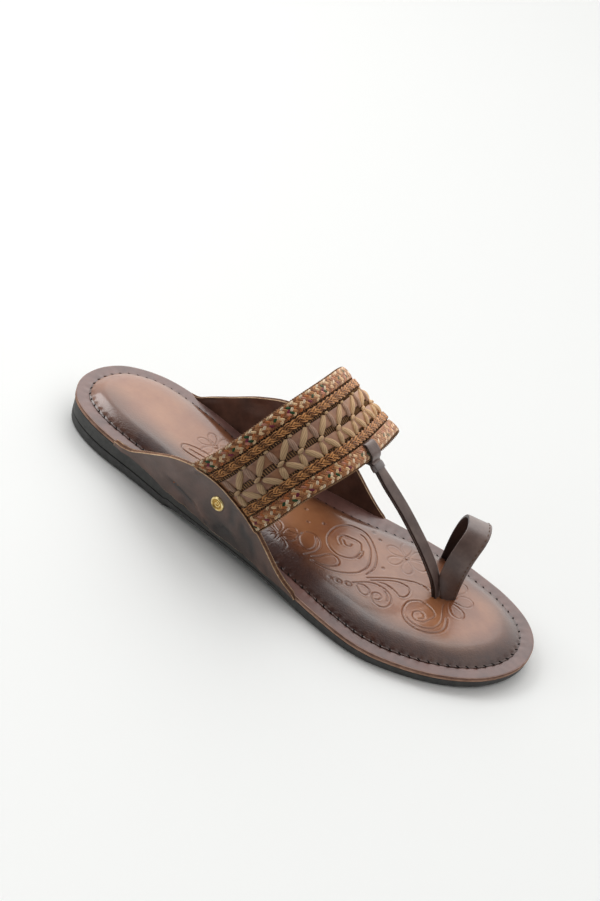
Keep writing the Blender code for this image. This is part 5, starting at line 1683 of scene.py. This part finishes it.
LOOP_STITCH_PITCH, LOOP_STITCH_IN = 2.5, 1.3
loop_run = run_along(loop)
count = int(loop_run[-1] / LOOP_STITCH_PITCH) - 1
at = (np.arange(count) + 1) * LOOP_STITCH_PITCH
wide_way = square_to(loop_way, wide_way)
loop_out = np.cross(loop_way, wide_way)
spots, ahead, aside, out = [read_rows(at, loop_run, rows) for rows in (loop, loop_way, wide_way, loop_out)]
reach = np.interp(at, loop_run, loop_wide) / 2 - LOOP_STITCH_IN
axes = np.stack([ahead * 0.85, aside * 0.3, out * 0.3], axis=1)
mesh = new_mesh()
for side in (-1, 1):
    scatter(mesh, grain_unit(), spots + aside * reach[:, None] + out * (side * LOOP_THICK / 2), axes)
tan_thread = thread("tan_waxed_thread", "#7E6250")
settle("toe_loop_stitches", mesh, [tan_thread])

# %% [markdown]
# A rivet is turned and stamped from brass: a cap with a raised rim round a sunk middle, a shank and a flat
# head. Its half section is a short chain of edges, and spin turns it round its axis. Tarnish stays in the
# sunk middle, where nothing rubs it off, so that gets a duller finish, and a plain spiral of wire is raised
# on it.

# %% Rivets
# Rivets: name, the frame's node, side, distance from the heel, height over the board's base
RIVETS = [("lateral_rivet_cap", "rivet_lateral", -1, 111.5, 20.2),
          ("medial_rivet_cap", "rivet_medial", 1, 113.0, 20.2)]
# Half section from the middle of the cap over its rim and down the shank to the head: radius, height
CAP = [(0.0, 0.75), (1.0, 0.75), (2.0, 0.74), (2.6, 0.7), (2.85, 0.9), (3.15, 1.2), (3.5, 1.1), (3.8, 0.7),
       (3.85, 0.3), (3.6, 0.0), (1.3, 0.0), (1.3, -2.7), (2.8, -2.7), (2.85, -3.1), (2.6, -3.4), (0.0, -3.5)]
CAP_RISE = 0.35           # the band's hidden end lifts the leather under the cap by about this
SPIRAL_TURNS, SPIRAL_START, SPIRAL_REACH = 1.25, 0.3, 1.9
SPIRAL_HEIGHT = 0.85
RECESS = 2.85             # the cap is sunk and tarnished inside this radius


def brass_finish(name, dark, light, roughness):
    """Lacquered brass: warm metal with a fine tarnish, duller where nothing rubs it."""
    tarnish = {"Scale": 700.0, "Detail": 4.0}
    return mottled(name, {"Metallic": 1.0, "Roughness": roughness, "Coat Weight": 0.2}, dark, light,
                   tarnish, (0.35, 0.65), tarnish, 0.2, 0.02)


brass = brass_finish("polished_brass", "#EBCB80", "#FFEDB4", 0.34)
tarnished = brass_finish("tarnished_brass", "#A8843E", "#C8A456", 0.5)
for name, node, side, x, height in RIVETS:
    mesh = new_mesh()
    line = [mesh.verts.new((r, 0.0, z)) for r, z in CAP]
    chain = [mesh.edges.new(pair) for pair in zip(line, line[1:])]
    bmesh.ops.spin(mesh, geom=line + chain, cent=(0, 0, 0), axis=(0, 0, 1), angle=math.tau, steps=40,
                   use_merge=True, use_duplicate=False)
    bmesh.ops.remove_doubles(mesh, verts=mesh.verts, dist=0.001)
    for face in mesh.faces:
        middle = face.calc_center_median()
        if middle.z > 0.5 and math.hypot(middle.x, middle.y) < RECESS:
            face.material_index = 1

    def wire(u, angle):
        turned = 2 * np.pi * SPIRAL_TURNS * u
        reach = SPIRAL_START + (SPIRAL_REACH - SPIRAL_START) * u + 0.27 * np.cos(angle)
        raised = SPIRAL_HEIGHT + 0.25 * np.sin(angle)
        return np.column_stack([reach * np.cos(turned), reach * np.sin(turned), raised])

    add_tube(mesh, 90, 8, wire)
    spot = wing_surface(np.array([x]), side, np.array([height]))[0]
    out = Vector(wing_outward(np.array([x]), side, np.array([height]))[0])
    bmesh.ops.rotate(mesh, verts=mesh.verts, cent=(0, 0, 0),
                     matrix=Vector((0, 0, 1)).rotation_difference(out).to_matrix())
    bmesh.ops.translate(mesh, verts=mesh.verts, vec=Vector(spot) + out * (WING_PROUD + CAP_RISE))
    settle(name, mesh, [brass, tarnished], [node])
